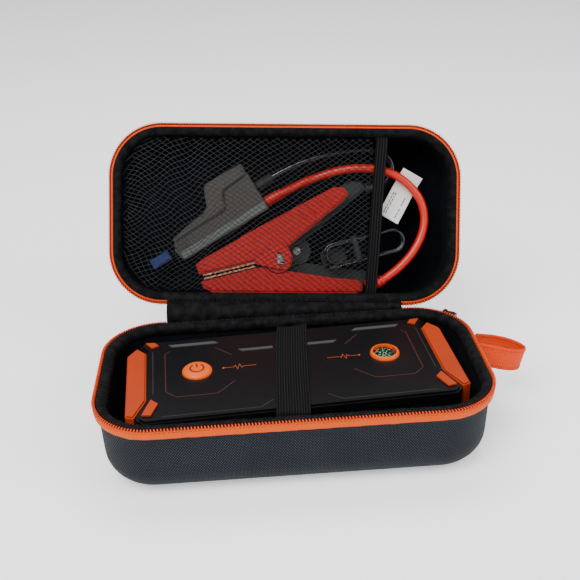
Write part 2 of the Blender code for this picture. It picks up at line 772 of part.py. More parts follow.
def make_clamp(word, shift, lift, moving_upper, lid):
    """One battery clamp: two levers, two jaw plates, a rivet and a torsion spring."""
    material = "clamp_" + word
    centre = (PIVOT[0] + shift[0], PIVOT[1] + shift[1])
    low = lid_z(CLAMP_LOW + lift)
    pivot = add_empty(word + "_clamp_pivot", (*centre, low + CLAMP_THICK / 2), 0.0, lid)
    mover = add_empty(word + "_clamp_mover", (-centre[0], -centre[1], -(low + CLAMP_THICK / 2)), 0.0, pivot)
    upper_parent = mover if moving_upper else lid
    lower_parent = lid if moving_upper else mover
    upper = shifted(UPPER_HALF, shift)
    lower = shifted(LOWER_HALF, shift)
    neck_up = [(-6.0, -3.0), (-8.0, -14.0), (4.0, -15.0), (5.0, -3.0)]
    neck_down = [(-5.0, 4.0), (6.0, 4.0), (6.0, 13.0), (-6.0, 13.0)]
    clamp_half(f"{word}_clamp_upper", upper, centre, low, low, neck_up, material, upper_parent)
    high_lug = low + CLAMP_THICK - LUG_THICK
    clamp_half(f"{word}_clamp_lower", lower, centre, low, high_lug, neck_down, material, lower_parent)
    tip = (-52.0 + shift[0], 40.0 + shift[1])
    root = (-19.0 + shift[0], 31.8 + shift[1])
    jaw_plate(f"{word}_upper_jaw", tip, root, -0.95, low, upper_parent)
    jaw_plate(f"{word}_lower_jaw", tip, root, 0.95, low, lower_parent)
    prism(
        f"{word}_clamp_rivet", circle(2.6, centre, 20), low - 0.6, low + CLAMP_THICK + 0.6,
        "spring_steel", lid,
        edge=0.5,
    )
    spring_low = low + LUG_THICK + GAP
    spring_high = high_lug - GAP
    ring(
        f"{word}_clamp_spring", circle(7.6, centre, 24), circle(3.4, centre, 20), spring_low, spring_high,
        "spring_steel", lid,
    )


RED_ROUTE = [
    (-12.6, -9.0, 29.0),
    (-6.5, -12.8, 28.6),
    (2.0, -17.0, 26.5),
    (12.0, -21.8, 23.0),
    (23.5, -26.0, 19.0),
    (36.0, -29.5, 16.0),
    (49.0, -30.8, 14.5),
    (62.0, -29.5, 14.0),
    (73.0, -25.5, 14.0),
    (82.0, -18.2, 14.0),
    (88.0, -9.5, 14.0),
    (90.4, 0.5, 14.0),
    (89.2, 10.5, 13.8),
    (84.8, 20.5, 13.3),
    (77.8, 29.6, 12.6),
    (69.4, 37.2, 12.0),
    (60.6, 42.8, 11.6),
    (52.2, 45.6, 11.6),
]
BLACK_ROUTE = [
    (-19.0, -19.1, 30.5),
    (-12.5, -23.3, 30.5),
    (0.0, -30.5, 30.3),
    (14.0, -36.6, 30.0),
    (30.0, -41.0, 29.4),
    (46.0, -43.7, 28.8),
    (58.5, -43.9, 28.2),
    (67.2, -40.3, 27.8),
    (70.8, -31.6, 27.6),
    (67.2, -22.9, 27.6),
    (58.5, -19.3, 27.6),
    (52.9, -18.6, 27.6),
]


def make_cables(lid):
    for name, route, material in (
        ("red_cable", RED_ROUTE, "cable_red"),
        ("black_cable", BLACK_ROUTE, "cable_black"),
    ):
        points = [(x, y, lid_z(z)) for x, y, z in route]
        tube(name, points, CABLE_D, material, lid)


def make_label(lid):
    """A folded flag label that hangs by the red cable."""
    flag = [(68.6, -20.8), (79.4, -13.6), (67.6, 4.6), (61.6, 1.4)]
    prism("cable_label", flag, lid_z(9.0), lid_z(9.8), "label_white", lid)


def make_charge_lead(lid):
    """The thin charging lead, folded into a tied hank, and its plug."""
    holder = add_empty("hank_place", (51.0, 20.6, lid_z(10.2)), -14.5, lid)
    hank = prism_mesh("charge_cable", rounded_rect(29.0, 8.6, 8.5, 6), -4.4, 4.4, 1.6)
    add_part("charge_cable", hank, "cable_black", holder)
    plug = prism_mesh("charge_plug", rounded_rect(8.0, 5.0, 1.5, 3), -3.0, 3.0, 0.8)
    part = add_part("charge_plug", plug, "rubber", holder)
    part.location = (-20.0 * MM, 1.0 * MM, 8.0 * MM)


def main():
    clear_scene()
    skew = add_empty("hinge_axis", (HINGE_X, HINGE_Y, RIM_Z), HINGE_SKEW)
    swing = add_empty("lid_swing", (0.0, 0.0, 0.0), 0.0, skew)
    swing.rotation_euler = (-math.radians(OPEN_ANGLE), 0.0, 0.0)
    lid = add_empty("lid", (0.0, 0.0, 0.0), 0.0, swing)
    axis_frame = Matrix.Translation(Vector((HINGE_X, HINGE_Y, RIM_Z)) * MM) @ Matrix.Rotation(
        math.radians(HINGE_SKEW), 4, "Z"
    )
    lid.matrix_parent_inverse = axis_frame.inverted()
    make_case_side(-1, None)
    make_fabric_hinge()
    make_foam()
    make_elastic_strap()
    make_wrist_strap()
    make_zip_slider()
    unit = add_empty("unit", (*UNIT_AT, 0.0), UNIT_TURN)
    make_unit_body(unit)
    make_trim(unit)
    make_end_caps(unit)
    make_socket_cover(unit)
    make_keys(unit)
    make_inside(unit)
    make_case_side(1, lid)
    make_pocket(lid)
    make_module(lid)
    make_clamp("red", (0.0, 0.0), 0.0, True, lid)
    make_clamp("black", BLACK_SHIFT, BLACK_LIFT, False, lid)
    make_cables(lid)
    make_label(lid)
    make_charge_lead(lid)


main()
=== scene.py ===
"""The looks of a jump starter kit in its zip case: fabric, zip, net, cables, mouldings, light and camera."""

import json
import math
import random

import bmesh
import bpy
from mathutils import Matrix, Vector


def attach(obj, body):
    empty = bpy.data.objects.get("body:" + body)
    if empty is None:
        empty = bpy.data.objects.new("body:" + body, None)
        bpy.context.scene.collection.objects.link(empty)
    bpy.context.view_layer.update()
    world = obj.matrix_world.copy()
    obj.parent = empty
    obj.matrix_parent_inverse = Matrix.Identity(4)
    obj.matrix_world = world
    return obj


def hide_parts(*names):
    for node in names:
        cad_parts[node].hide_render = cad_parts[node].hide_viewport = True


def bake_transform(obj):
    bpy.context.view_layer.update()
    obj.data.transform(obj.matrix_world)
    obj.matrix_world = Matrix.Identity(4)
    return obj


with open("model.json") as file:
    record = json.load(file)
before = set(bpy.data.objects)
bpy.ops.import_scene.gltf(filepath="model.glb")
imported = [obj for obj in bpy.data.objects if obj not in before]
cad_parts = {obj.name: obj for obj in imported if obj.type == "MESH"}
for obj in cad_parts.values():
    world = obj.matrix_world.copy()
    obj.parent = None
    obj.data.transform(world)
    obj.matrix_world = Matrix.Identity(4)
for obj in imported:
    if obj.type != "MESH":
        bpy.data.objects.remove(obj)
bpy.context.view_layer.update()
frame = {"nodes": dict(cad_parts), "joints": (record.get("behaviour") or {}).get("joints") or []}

MM = 0.001
BAND_STEP = 0.5            # spacing of a strap's points across its width

# The case, in millimetres: half sizes and corner radius at the zip line, and the parting plane
CASE_X = 111.0
CASE_Y = 57.0
CASE_R = 33.5
RIM_Z = 48.0
BASE_DEPTH = 48.0
LID_DEPTH = 42.0
WALL = 3.2
HINGE_HALF = 74.0

STRAIGHT_X = CASE_X - CASE_R
STRAIGHT_Y = CASE_Y - CASE_R
QUARTER = CASE_R * math.pi / 2
LOOP = 4 * (STRAIGHT_X + STRAIGHT_Y + QUARTER)

# The power unit stands a little turned in the case
UNIT_AT = (0.7, 1.7)
UNIT_TURN = math.radians(3.6)
UNIT_TOP = 44.3
KEY_X = 55.1
KEY_Y = 3.8

BASE = -1
LID = 1
NAMES = {BASE: "base", LID: "lid"}
BODIES = {BASE: "case_base", LID: "lid"}

hinge = next(j for j in frame["joints"] if j["name"] == "lid_hinge")
HINGE_AT = Vector(hinge["pos_m"])
HINGE_AXIS = Vector(hinge["axis"]).normalized()
OPEN_ANGLE = math.radians(115)
LID_OPEN = (
    Matrix.Translation(HINGE_AT)
    @ Matrix.Rotation(OPEN_ANGLE, 4, HINGE_AXIS)
    @ Matrix.Translation(-HINGE_AT)
)


# Placing

def rim_point(s, inset):
    """The point at length s along the zip line from the middle of the back, moved in by inset."""
    s = s % LOOP
    runs = (
        (STRAIGHT_X, Vector((0.0, CASE_Y)), Vector((1, 0)), False),
        (QUARTER, Vector((STRAIGHT_X, STRAIGHT_Y)), 90, True),
        (2 * STRAIGHT_Y, Vector((CASE_X, STRAIGHT_Y)), Vector((0, -1)), False),
        (QUARTER, Vector((STRAIGHT_X, -STRAIGHT_Y)), 0, True),
        (2 * STRAIGHT_X, Vector((STRAIGHT_X, -CASE_Y)), Vector((-1, 0)), False),
        (QUARTER, Vector((-STRAIGHT_X, -STRAIGHT_Y)), -90, True),
        (2 * STRAIGHT_Y, Vector((-CASE_X, -STRAIGHT_Y)), Vector((0, 1)), False),
        (QUARTER, Vector((-STRAIGHT_X, STRAIGHT_Y)), 180, True),
        (STRAIGHT_X, Vector((-STRAIGHT_X, CASE_Y)), Vector((1, 0)), False),
    )
    for length, start, heading, bends in runs:
        if s <= length:
            break
        s -= length
    if bends:
        angle = math.radians(heading) - s / CASE_R
        return start + Vector((math.cos(angle), math.sin(angle))) * (CASE_R - inset)
    return start + heading * s - Vector((-heading.y, heading.x)) * inset


def to_world(side, x, y, z):
    """A point drawn with the case shut, in millimetres, to where it is with the lid open, in metres."""
    point = Vector((x, y, z)) * MM
    return LID_OPEN @ point if side == LID else point


def plan_point(s, inset, squeeze=1.0):
    """A point of the case in plan, in millimetres; squeeze draws it in to the long middle line."""
    point = rim_point(s, inset)
    return point.x, point.y * squeeze


def case_point(side, s, inset, depth, squeeze=1.0):
    """depth is measured from the parting plane into the base or the lid."""
    x, y = plan_point(s, inset, squeeze)
    return to_world(side, x, y, RIM_Z + side * depth)


def in_lid(x, y, depth):
    """A place in the open lid, in metres, from where it is with the lid shut."""
    return to_world(LID, x, y, RIM_Z + depth)


def unit_point(x, y, z):
    """From the power unit's own axes, in millimetres, to metres in the case."""
    c = math.cos(UNIT_TURN)
    s = math.sin(UNIT_TURN)
    return Vector((UNIT_AT[0] + x * c - y * s, UNIT_AT[1] + x * s + y * c, z)) * MM


def steps(start, end, size):
    count = max(2, round(abs(end - start) / size))
    return [start + (end - start) * i / count for i in range(count + 1)]


def ripple(s, waves, seed):
    """A repeatable wobble between -1 and 1 that closes on itself round the rim."""
    chance = random.Random(seed)
    return sum(math.sin(math.tau * n * s / LOOP + chance.uniform(0, math.tau)) for n in waves) / len(waves)


# Meshes

def add_object(name, data):
    made = bpy.data.objects.new(name, data)
    bpy.context.scene.collection.objects.link(made)
    return made


def finish_mesh(name, mesh, materials, body, replaced=(), smooth=True, weld=0.0):
    """Cleans a new mesh, turns its faces outward and puts it on its body."""
    bm = bmesh.new()
    bm.from_mesh(mesh)
    if weld:
        bmesh.ops.remove_doubles(bm, verts=bm.verts, dist=weld)
        bmesh.ops.dissolve_degenerate(bm, edges=bm.edges, dist=weld)
    bmesh.ops.recalc_face_normals(bm, faces=bm.faces)
    for face in bm.faces:
        face.smooth = smooth
    bm.to_mesh(mesh)
    bm.free()
    piece = add_object(name, mesh)
    for material in materials:
        mesh.materials.append(material)
    if body:
        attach(piece, body)
    if replaced:
        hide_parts(*replaced)
    return piece


def grid(name, points, u, v, wrap_u=False, wrap_v=False, kinds=None, plan=None, planar=None):
    """A mesh over a grid of points in metres. u and v are the flat sizes in millimetres, kept as its UV map.
    Columns marked in planar are laid out flat by plan instead."""
    rows = len(points)
    columns = len(points[0])
    verts = [tuple(p) for row in points for p in row]
    faces = []
    flats = []
    kind_of = []
    for i in range(rows if wrap_u else rows - 1):
        for j in range(columns if wrap_v else columns - 1):
            k = (i + 1) % rows
            m = (j + 1) % columns
            corners = ((i, j), (k, j), (k, m), (i, m))
            faces.append([a * columns + b for a, b in corners])
            if planar and planar[j]:
                flats += [plan[a][b] for a, b in corners]
            else:
                flats += [(u[i], v[j]), (u[i + 1], v[j]), (u[i + 1], v[j + 1]), (u[i], v[j + 1])]
            kind_of.append(kinds[j] if kinds else 0)
    if wrap_v and not wrap_u:
        for i in (0, rows - 1):
            faces.append([i * columns + j for j in range(columns)])
            flats += [(v[j], 0.0) for j in range(columns)]
            kind_of.append(kind_of[0])
    mesh = bpy.data.meshes.new(name)
    mesh.from_pydata(verts, [], faces)
    layer = mesh.uv_layers.new(name="flat")
    layer.data.foreach_set("uv", [c for flat in flats for c in flat])
    mesh.polygons.foreach_set("material_index", kind_of)
    return mesh


def lengths(profile):
    """Distance along a profile at each of its points."""
    total = [0.0]
    for a, b in zip(profile, profile[1:]):
        total.append(total[-1] + math.dist(a[:2], b[:2]))
    return total


def sweep_round(name, side, stations, profile, closed_loop, closed_profile=True, kinds=None, planar=None):
    """A mesh from a profile of (inset, depth) carried round the rim; profile may change with s."""
    shape = profile if callable(profile) else lambda s: profile
    points = [[case_point(side, s, *p) for p in shape(s)] for s in stations]
    plan = [[plan_point(s, p[0], *p[2:]) for p in shape(s)] for s in stations] if planar else None
    first = shape(stations[0])
    v = lengths(first)
    v.append(v[-1] + math.dist(first[-1][:2], first[0][:2]))
    u = list(stations) + [stations[0] + LOOP]
    return grid(name, points, u, v, closed_loop, closed_profile, kinds, plan, planar)


def run_lengths(points):
    """Distance along a line of vectors at each of its points."""
    gone = [0.0]
    for a, b in zip(points, points[1:]):
        gone.append(gone[-1] + (b - a).length)
    return gone


def smooth_route(route, spacing):
    """Points about spacing apart on a smooth curve through the route."""
    route = [Vector(p) for p in route]
    dense = []
    for i in range(len(route) - 1):
        before = route[max(i - 1, 0)]
        after = route[min(i + 2, len(route) - 1)]
        a, b = route[i], route[i + 1]
        for n in range(12):
            t = n / 12
            first = a + (b - before) / 6
            second = b - (after - a) / 6
            k = 1 - t
            dense.append(a * k**3 + first * 3 * k * k * t + second * 3 * k * t * t + b * t**3)
    dense.append(route[-1])
    gone = run_lengths(dense)
    count = max(3, round(gone[-1] / spacing))
    points = []
    at = 0
    for i in range(count + 1):
        want = gone[-1] * i / count
        while at < len(gone) - 2 and gone[at + 1] < want:
            at += 1
        share = (want - gone[at]) / (gone[at + 1] - gone[at])
        points.append(dense[at].lerp(dense[at + 1], share))
    return points


def smooth_line(line):
    """A closer set of points, in metres, on a smooth curve through the line."""
    return [p * MM for p in smooth_route([p / MM for p in line], 0.8)]


def heading_at(points, i):
    return (points[min(i + 1, len(points) - 1)] - points[max(i - 1, 0)]).normalized()


def along(line):
    """A function that gives the point at any place on the line, counted in points."""

    def at(s):
        i = max(0, min(len(line) - 2, int(s)))
        return line[i].lerp(line[i + 1], s - i)

    return at


def frames_along(points):
    """A pair of cross directions at each point that don't twist along the line."""
    side = None
    pairs = []
    for i in range(len(points)):
        ahead = heading_at(points, i)
        if side is None:
            side = ahead.cross(Vector((0.31, 0.2, 0.93))).normalized()
        side = (side - ahead * side.dot(ahead)).normalized()
        pairs.append((side, ahead.cross(side)))
    return pairs


def tube(name, points, radius, sides=12, flatten=1.0):
    """A round or flattened tube along points in metres; radius is in metres, or one for each point."""
    radii = radius if isinstance(radius, (list, tuple)) else [radius] * len(points)
    rows = []
    for point, (a, b), r in zip(points, frames_along(points), radii):
        ring = [math.tau * i / sides for i in range(sides)]
        rows.append([point + a * math.cos(t) * r + b * math.sin(t) * r * flatten for t in ring])
    gone = [g / MM for g in run_lengths(points)]
    around = [math.tau * max(radii) / MM * i / sides for i in range(sides + 1)]
    return grid(name, rows, gone, around, False, True)


def joined(name, meshes):
    """One mesh from several."""
    bm = bmesh.new()
    for mesh in meshes:
        bm.from_mesh(mesh)
        bpy.data.meshes.remove(mesh)
    whole = bpy.data.meshes.new(name)
    bm.to_mesh(whole)
    bm.free()
    return whole


def dashes(name, line, start, end, pitch, dash, radius):
    """Sewing thread: a short rounded stitch at every pitch along line(s), which gives points in metres."""
    made = []
    count = int(abs(end - start) / pitch)
    way = 1 if end > start else -1
    for i in range(count):
        s = start + way * pitch * (i + 0.5)
        points = [line(s + way * dash * t) for t in (-0.5, -0.36, 0.0, 0.36, 0.5)]
        made.append(tube(name, points, [radius * k for k in (0.25, 0.85, 1.0, 0.85, 0.25)], 6))
    return joined(name, made)


def band(name, centres, across, up, half, thick, ribs, rib_high):
    """Webbing or elastic: centres in metres, across and up directions at each, sizes in mm."""
    offsets = steps(-half, half, BAND_STEP)
    outline = []
    for o in offsets:
        wave = math.cos(math.tau * ribs * (o + half) / (2 * half) + math.pi)
        bulge = rib_high * 0.5 * (1 + wave) if ribs else 0.0
        outline.append((o, thick / 2 - rib_high + bulge))
    outline += [(o, -h) for o, h in reversed(outline)]
    rows = []
    for centre, a, b in zip(centres, across, up):
        rows.append([centre + a * (o * MM) + b * (h * MM) for o, h in outline])
    gone = [g / MM for g in run_lengths(centres)]
    v = lengths(outline)
    v.append(v[-1] + 1.0)
    return grid(name, rows, gone, v, False, True)


# Materials

class Look:
    """A Principled material built up from a few procedural nodes."""

    def __init__(self, name, colour, roughness, metallic=0.0, sheen=0.0, coat=0.0, clear=0.0, specular=0.3):
        self.material = bpy.data.materials.new(name)
        self.material.use_nodes = True
        self.tree = self.material.node_tree
        self.shader = self.tree.nodes["Principled BSDF"]
        colour = (*colour, 1.0)
        self.material.diffuse_color = colour
        values = {
            "Base Color": colour,
            "Roughness": roughness,
            "Metallic": metallic,
            "Sheen Weight": sheen,
            "Coat Weight": coat,
            "Transmission Weight": clear,
            "Specular IOR Level": specular,
        }
        for socket, value in values.items():
            self.shader.inputs[socket].default_value = value
        self.bumped = None

    def node(self, kind, **inputs):
        made = self.tree.nodes.new(kind)
        for socket, value in inputs.items():
            self.feed(made.inputs[socket], value)
        return made

    def feed(self, socket, value):
        if isinstance(value, bpy.types.NodeSocket):
            self.tree.links.new(value, socket)
        else:
            socket.default_value = value

    def math(self, operation, *values):
        made = self.tree.nodes.new("ShaderNodeMath")
        made.operation = operation
        for socket, value in zip(made.inputs, values):
            self.feed(socket, value)
        return made.outputs[0]

    def flat(self):
        """The piece's flat coordinates in millimetres: U along it, V across it."""
        parts = self.node("ShaderNodeSeparateXYZ", Vector=self.node("ShaderNodeTexCoord").outputs["UV"])
        return parts.outputs["X"], parts.outputs["Y"]

    def solid(self):
        """Place in the object, in metres."""
        return self.node("ShaderNodeTexCoord").outputs["Object"]

    def noise(self, scale, detail=3.0, where=None):
        """Cloudy values from 0 to 1; scale is in cells per metre of the object."""
        made = self.node("ShaderNodeTexNoise", Vector=where or self.solid(), Scale=scale, Detail=detail)
        return made.outputs["Fac"]

    def ramp(self, value, low, high, out_low=0.0, out_high=1.0):
        made = self.node("ShaderNodeMapRange", Value=value)
        limits = {"From Min": low, "From Max": high, "To Min": out_low, "To Max": out_high}
        for socket, limit in limits.items():
            made.inputs[socket].default_value = limit
        return made.outputs["Result"]

    def wave(self, value, pitch, phase=0.0):
        """A sine from -1 to 1 that repeats every pitch."""
        return self.math("SINE", self.math("ADD", self.math("MULTIPLY", value, math.tau / pitch), phase))

    def tint(self, amount, dark, light):
        """Blends the base colour between two colours; amount runs from 0 to 1."""
        made = self.tree.nodes.new("ShaderNodeMix")
        made.data_type = "RGBA"
        self.feed(made.inputs["Factor"], amount)
        made.inputs["A"].default_value = (*dark, 1.0)
        made.inputs["B"].default_value = (*light, 1.0)
        self.feed(self.shader.inputs["Base Color"], made.outputs["Result"])

    def rough(self, amount, low, high):
        self.feed(self.shader.inputs["Roughness"], self.ramp(amount, 0.0, 1.0, low, high))

    def bump(self, height, depth, strength=1.0):
        """depth is in metres; later bumps add to earlier ones."""
        made = self.node("ShaderNodeBump", Height=height, Distance=depth, Strength=strength)
        if self.bumped:
            self.feed(made.inputs["Normal"], self.bumped)
        self.bumped = made.outputs["Normal"]
        self.feed(self.shader.inputs["Normal"], self.bumped)

    def weave(self, pitch_u, pitch_v):
        """Height of a plain weave, from 0 in the gaps to 1 on top of the yarns."""
        u, v = self.flat()
        across = self.wave(u, 2 * pitch_u)
        along = self.wave(v, 2 * pitch_v)
        over = self.ramp(self.math("MULTIPLY", across, along), -0.25, 0.25)
        a = self.math("ABSOLUTE", across)
        b = self.math("ABSOLUTE", along)
        warp = self.math("MULTIPLY", a, self.math("MULTIPLY_ADD", b, 0.55, 0.45))
        weft = self.math("MULTIPLY", b, self.math("MULTIPLY_ADD", a, 0.55, 0.45))
        first = self.math("MULTIPLY", warp, over)
        second = self.math("MULTIPLY", weft, self.math("SUBTRACT", 1.0, over))
        return self.math("ADD", first, second)


def shell_fabric_look():
    """Ballistic nylon: a coarse basket weave; the cold sheen on the yarns is painted into the colour, as
    bright blue dots on the yarn crossings.
    """
    look = Look("ballistic_nylon", (0.012, 0.014, 0.018), 0.55, specular=0.14)
    height = look.weave(0.72, 0.95)
    u, v = look.flat()
    crossing = look.math("MULTIPLY", look.wave(u, 1.44), look.wave(v, 1.9))
    # The dots follow the real weave; their bright cold blue is a painted highlight (sheen), varied by a
    # random cloud.
    yarn_sheen_dots = look.ramp(crossing, 0.05, 0.8)
    cloud = look.noise(60.0)
    shade = look.math("MULTIPLY", yarn_sheen_dots, look.math("MULTIPLY_ADD", cloud, 0.7, 0.5))
    look.tint(shade, (0.0006, 0.0008, 0.0012), (0.062, 0.077, 0.102))
    look.rough(height, 0.85, 0.5)
    look.bump(height, 0.0004)
    look.bump(look.noise(900.0), 0.00005, 0.6)
    return look.material


def lining_look():
    """Knitted lining with a short brushed pile."""
    look = Look("brushed_lining", (0.007, 0.007, 0.009), 0.9, sheen=0.006, specular=0.05)
    cloud = look.noise(140.0, 4.0)
    look.tint(cloud, (0.0009, 0.0012, 0.0020), (0.0040, 0.0050, 0.0075))
    look.bump(look.noise(2600.0), 0.0001, 0.8)
    look.bump(cloud, 0.0006, 0.5)
    return look.material


def binding_look():
    """Soft binding tape over the padded rim: fine ribs across it, and painted shade in the folds, darker
    where the bump cloud dips.
    """
    look = Look("rim_binding_tape", (0.010, 0.010, 0.012), 0.7, sheen=0.008, specular=0.1)
    ribs = look.wave(look.flat()[0], 0.9)
    cloud = look.noise(220.0, 5.0)
    # Painted shade: the colour darkens where the same cloud that lumps the surface dips into folds.
    look.tint(look.ramp(cloud, 0.4, 0.75), (0.0006, 0.0006, 0.0008), (0.0085, 0.0085, 0.0098))
    look.bump(ribs, 0.00012, 0.7)
    look.bump(cloud, 0.0008, 0.6)
    return look.material


def webbing_look(name, dark, light, pitch=0.9, sheen=0.02):
    """Herringbone webbing or zip tape in a bright yarn."""
    look = Look(name, light, 0.6, sheen=sheen, specular=0.12)
    u, v = look.flat()
    bend = look.math("ABSOLUTE", look.wave(v, 5.2))
    twill = look.wave(look.math("ADD", u, look.math("MULTIPLY", bend, 1.6)), pitch)
    yarn = look.wave(v, 0.62)
    height = look.math("MULTIPLY_ADD", twill, 0.3, look.math("MULTIPLY_ADD", yarn, 0.2, 0.5))
    cloud = look.noise(90.0, 4.0)
    shade = look.math("MULTIPLY", height, look.math("MULTIPLY_ADD", cloud, 0.5, 0.75))
    look.tint(shade, dark, light)
    look.bump(height, 0.00018, 0.8)
    return look.material


def elastic_look():
    """Knitted elastic: the ribs are in the mesh, the knit in the surface; the rib crests are painted lighter
    as a highlight.
    """
    look = Look("knitted_elastic", (0.014, 0.014, 0.016), 0.7, sheen=0.008, specular=0.1)
    knit = look.weave(0.45, 0.5)
    # Painted highlight: the colour is lighter along the rib crests.
    rib_crest_highlight = look.ramp(look.wave(look.flat()[1], 1.85), 0.1, 1.0)
    shade = look.math("MULTIPLY", rib_crest_highlight, look.math("MULTIPLY_ADD", knit, 0.7, 0.3))
    look.tint(shade, (0.0007, 0.0007, 0.0009), (0.022, 0.022, 0.024))
    look.bump(knit, 0.0002, 0.9)
    return look.material


def thread_look(name, colour):
    """Twisted sewing thread."""
    look = Look(name, colour, 0.5, sheen=0.02, specular=0.2)
    u, v = look.flat()
    twist = look.wave(look.math("ADD", u, look.math("MULTIPLY", v, 0.8)), 0.5)
    look.tint(look.ramp(twist, -1.0, 1.0), tuple(c * 0.6 for c in colour), colour)
    look.bump(twist, 0.0001, 0.7)
    return look.material


def plastic_look(name, colour, roughness, grain=0.35, wear=0.12, coat=0.0, dark=0.75):
    """Moulded plastic: spark-eroded grain, slow drift of shade and faint handling marks."""
    look = Look(name, colour, roughness, coat=coat)
    drift = look.noise(28.0, 2.0)
    look.tint(drift, tuple(c * dark for c in colour), colour)
    marks = look.noise(240.0, 6.0)
    look.rough(marks, max(0.05, roughness - wear), min(1.0, roughness + wear))
    look.bump(look.noise(2300.0, 2.0), 0.00006, grain)
    return look.material


def metal_look(name, colour, roughness, brushed=900.0):
    look = Look(name, colour, roughness, metallic=1.0)
    stretch = look.node("ShaderNodeMapping", Vector=look.solid())
    stretch.inputs["Scale"].default_value = (1.0, 0.12, 1.0)
    streaks = look.noise(brushed, 3.0, stretch.outputs["Vector"])
    look.tint(look.noise(120.0), tuple(c * 0.62 for c in colour), colour)
    look.rough(streaks, max(0.1, roughness - 0.1), roughness + 0.18)
    look.bump(streaks, 0.00004, 0.5)
    return look.material


def foam_look():
    look = Look("open_cell_foam", (0.016, 0.016, 0.018), 0.95)
    cells = look.node("ShaderNodeTexVoronoi", Vector=look.solid(), Scale=900.0)
    look.tint(cells.outputs["Distance"], (0.004, 0.004, 0.005), (0.03, 0.03, 0.032))
    look.bump(cells.outputs["Distance"], 0.0006, 0.9)
    return look.material


def rubber_look(name, colour, roughness=0.45):
    """Cable jacket: a faint orange-peel skin, a little bloom and scuffs."""
    look = Look(name, colour, roughness, specular=0.5)
    bloom = look.noise(70.0, 4.0)
    look.tint(bloom, tuple(c * 0.7 for c in colour), colour)
    look.rough(look.noise(300.0, 5.0), roughness - 0.12, roughness + 0.14)
    look.bump(look.noise(1500.0, 2.0), 0.00006, 0.5)
    return look.material


def lens_look():
    look = Look("clear_dome", (0.96, 0.98, 0.97), 0.03, clear=1.0)
    look.shader.inputs["IOR"].default_value = 1.06
    look.rough(look.noise(500.0, 4.0), 0.0, 0.04)
    look.bump(look.noise(60.0, 2.0), 0.00004, 0.3)
    return look.material


def board_look():
    look = Look("circuit_board_mask", (0.01, 0.09, 0.03), 0.35, coat=0.4)
    tracks = look.node("ShaderNodeTexBrick", Vector=look.solid(), Scale=160.0)
    look.tint(tracks.outputs["Fac"], (0.008, 0.07, 0.022), (0.02, 0.15, 0.05))
    look.bump(tracks.outputs["Fac"], 0.0001, 0.6)
    return look.material


SHELL = shell_fabric_look()
LINING = lining_look()
BINDING = binding_look()
TAPE = webbing_look("orange_zip_tape", (0.40, 0.036, 0.0), (0.86, 0.115, 0.0))
LID_TAPE = webbing_look("orange_zip_tape_lid", (0.42, 0.022, 0.001), (0.92, 0.075, 0.002))
STRAP = webbing_look("orange_webbing", (0.36, 0.018, 0.001), (0.88, 0.065, 0.002), pitch=1.7)
COIL = plastic_look("orange_zip_coil", (0.80, 0.055, 0.002), 0.42, grain=0.2)
# Painted shade: the zip's core cord is coloured near black-red, so the gaps between the teeth read dark.
COIL_CORD_PAINTED_SHADE = thread_look("coil_cord_painted_shade", (0.035, 0.002, 0.0))
ELASTIC = elastic_look()
NET = plastic_look("net_yarn", (0.012, 0.013, 0.016), 0.30, grain=0.8, wear=0.1)
BLACK_THREAD = thread_look("black_thread", (0.02, 0.02, 0.022))
ORANGE_THREAD = thread_look("orange_thread", (0.62, 0.05, 0.001))
UNIT_BLACK = plastic_look("unit_black_plastic", (0.0022, 0.0021, 0.0030), 0.34, grain=0.12, wear=0.03)
ORANGE = plastic_look("burnt_orange_plastic", (0.46, 0.038, 0.001), 0.46, grain=0.3, wear=0.05, dark=0.6)
KEY_ORANGE = plastic_look("orange_key_plastic", (0.80, 0.10, 0.0), 0.42, grain=0.25, wear=0.05)
TRIM = plastic_look("grey_trim_plastic", (0.060, 0.062, 0.064), 0.34, grain=0.3)
LENS = lens_look()
CARD = plastic_look("compass_card_black", (0.006, 0.007, 0.007), 0.45)
TICKS = plastic_look("compass_marks_white", (0.42, 0.42, 0.40), 0.5)
GREEN = plastic_look("compass_marks_green", (0.02, 0.38, 0.12), 0.45)
FOIL = metal_look("cell_wrap_foil", (0.55, 0.56, 0.6), 0.35)
BOARD = board_look()
SWITCH = metal_look("pressed_steel", (0.55, 0.55, 0.56), 0.32)
SOCKET = plastic_look("socket_blue_plastic", (0.006, 0.020, 0.14), 0.40)
RUBBER = rubber_look("soft_black_rubber", (0.0055, 0.0055, 0.006), 0.6)
STEEL = metal_look("screw_steel", (0.60, 0.60, 0.62), 0.28)
MODULE_GREY = plastic_look("module_taupe_plastic", (0.052, 0.045, 0.038), 0.5, grain=0.5)
# Painted shade: the module's lower shell is the same taupe plastic as its upper shell, made a little darker.
MODULE_TAUPE_SHADED = plastic_look("module_taupe_painted_shade", (0.046, 0.040, 0.034), 0.5, grain=0.5)
# Painted highlight: a lighter grey for the strip along the module's lower edge, standing in for its face
# catching the light.
MODULE_EDGE_HIGHLIGHT = plastic_look("module_edge_painted_highlight", (0.10, 0.115, 0.10), 0.45, grain=0.5)
CLAMP_RED = plastic_look("clamp_red_plastic", (0.42, 0.006, 0.003), 0.34, grain=0.4)
CLAMP_BLACK = plastic_look("clamp_black_plastic", (0.022, 0.027, 0.026), 0.42, grain=0.5)
CABLE_RED = rubber_look("red_cable_jacket", (0.60, 0.010, 0.002), 0.34)
CABLE_BLACK = rubber_look("black_cable_jacket", (0.005, 0.005, 0.008), 0.16)
COPPER = metal_look("copper_plate", (0.80, 0.36, 0.20), 0.30)
SPRING = metal_look("spring_steel", (0.45, 0.44, 0.42), 0.34)
SLIDER = metal_look("black_nickel_slider", (0.10, 0.10, 0.11), 0.30)
PRINT = plastic_look("label_ink", (0.05, 0.05, 0.055), 0.7)
LABEL = plastic_look("label_paper", (0.72, 0.71, 0.66), 0.62, grain=0.5)
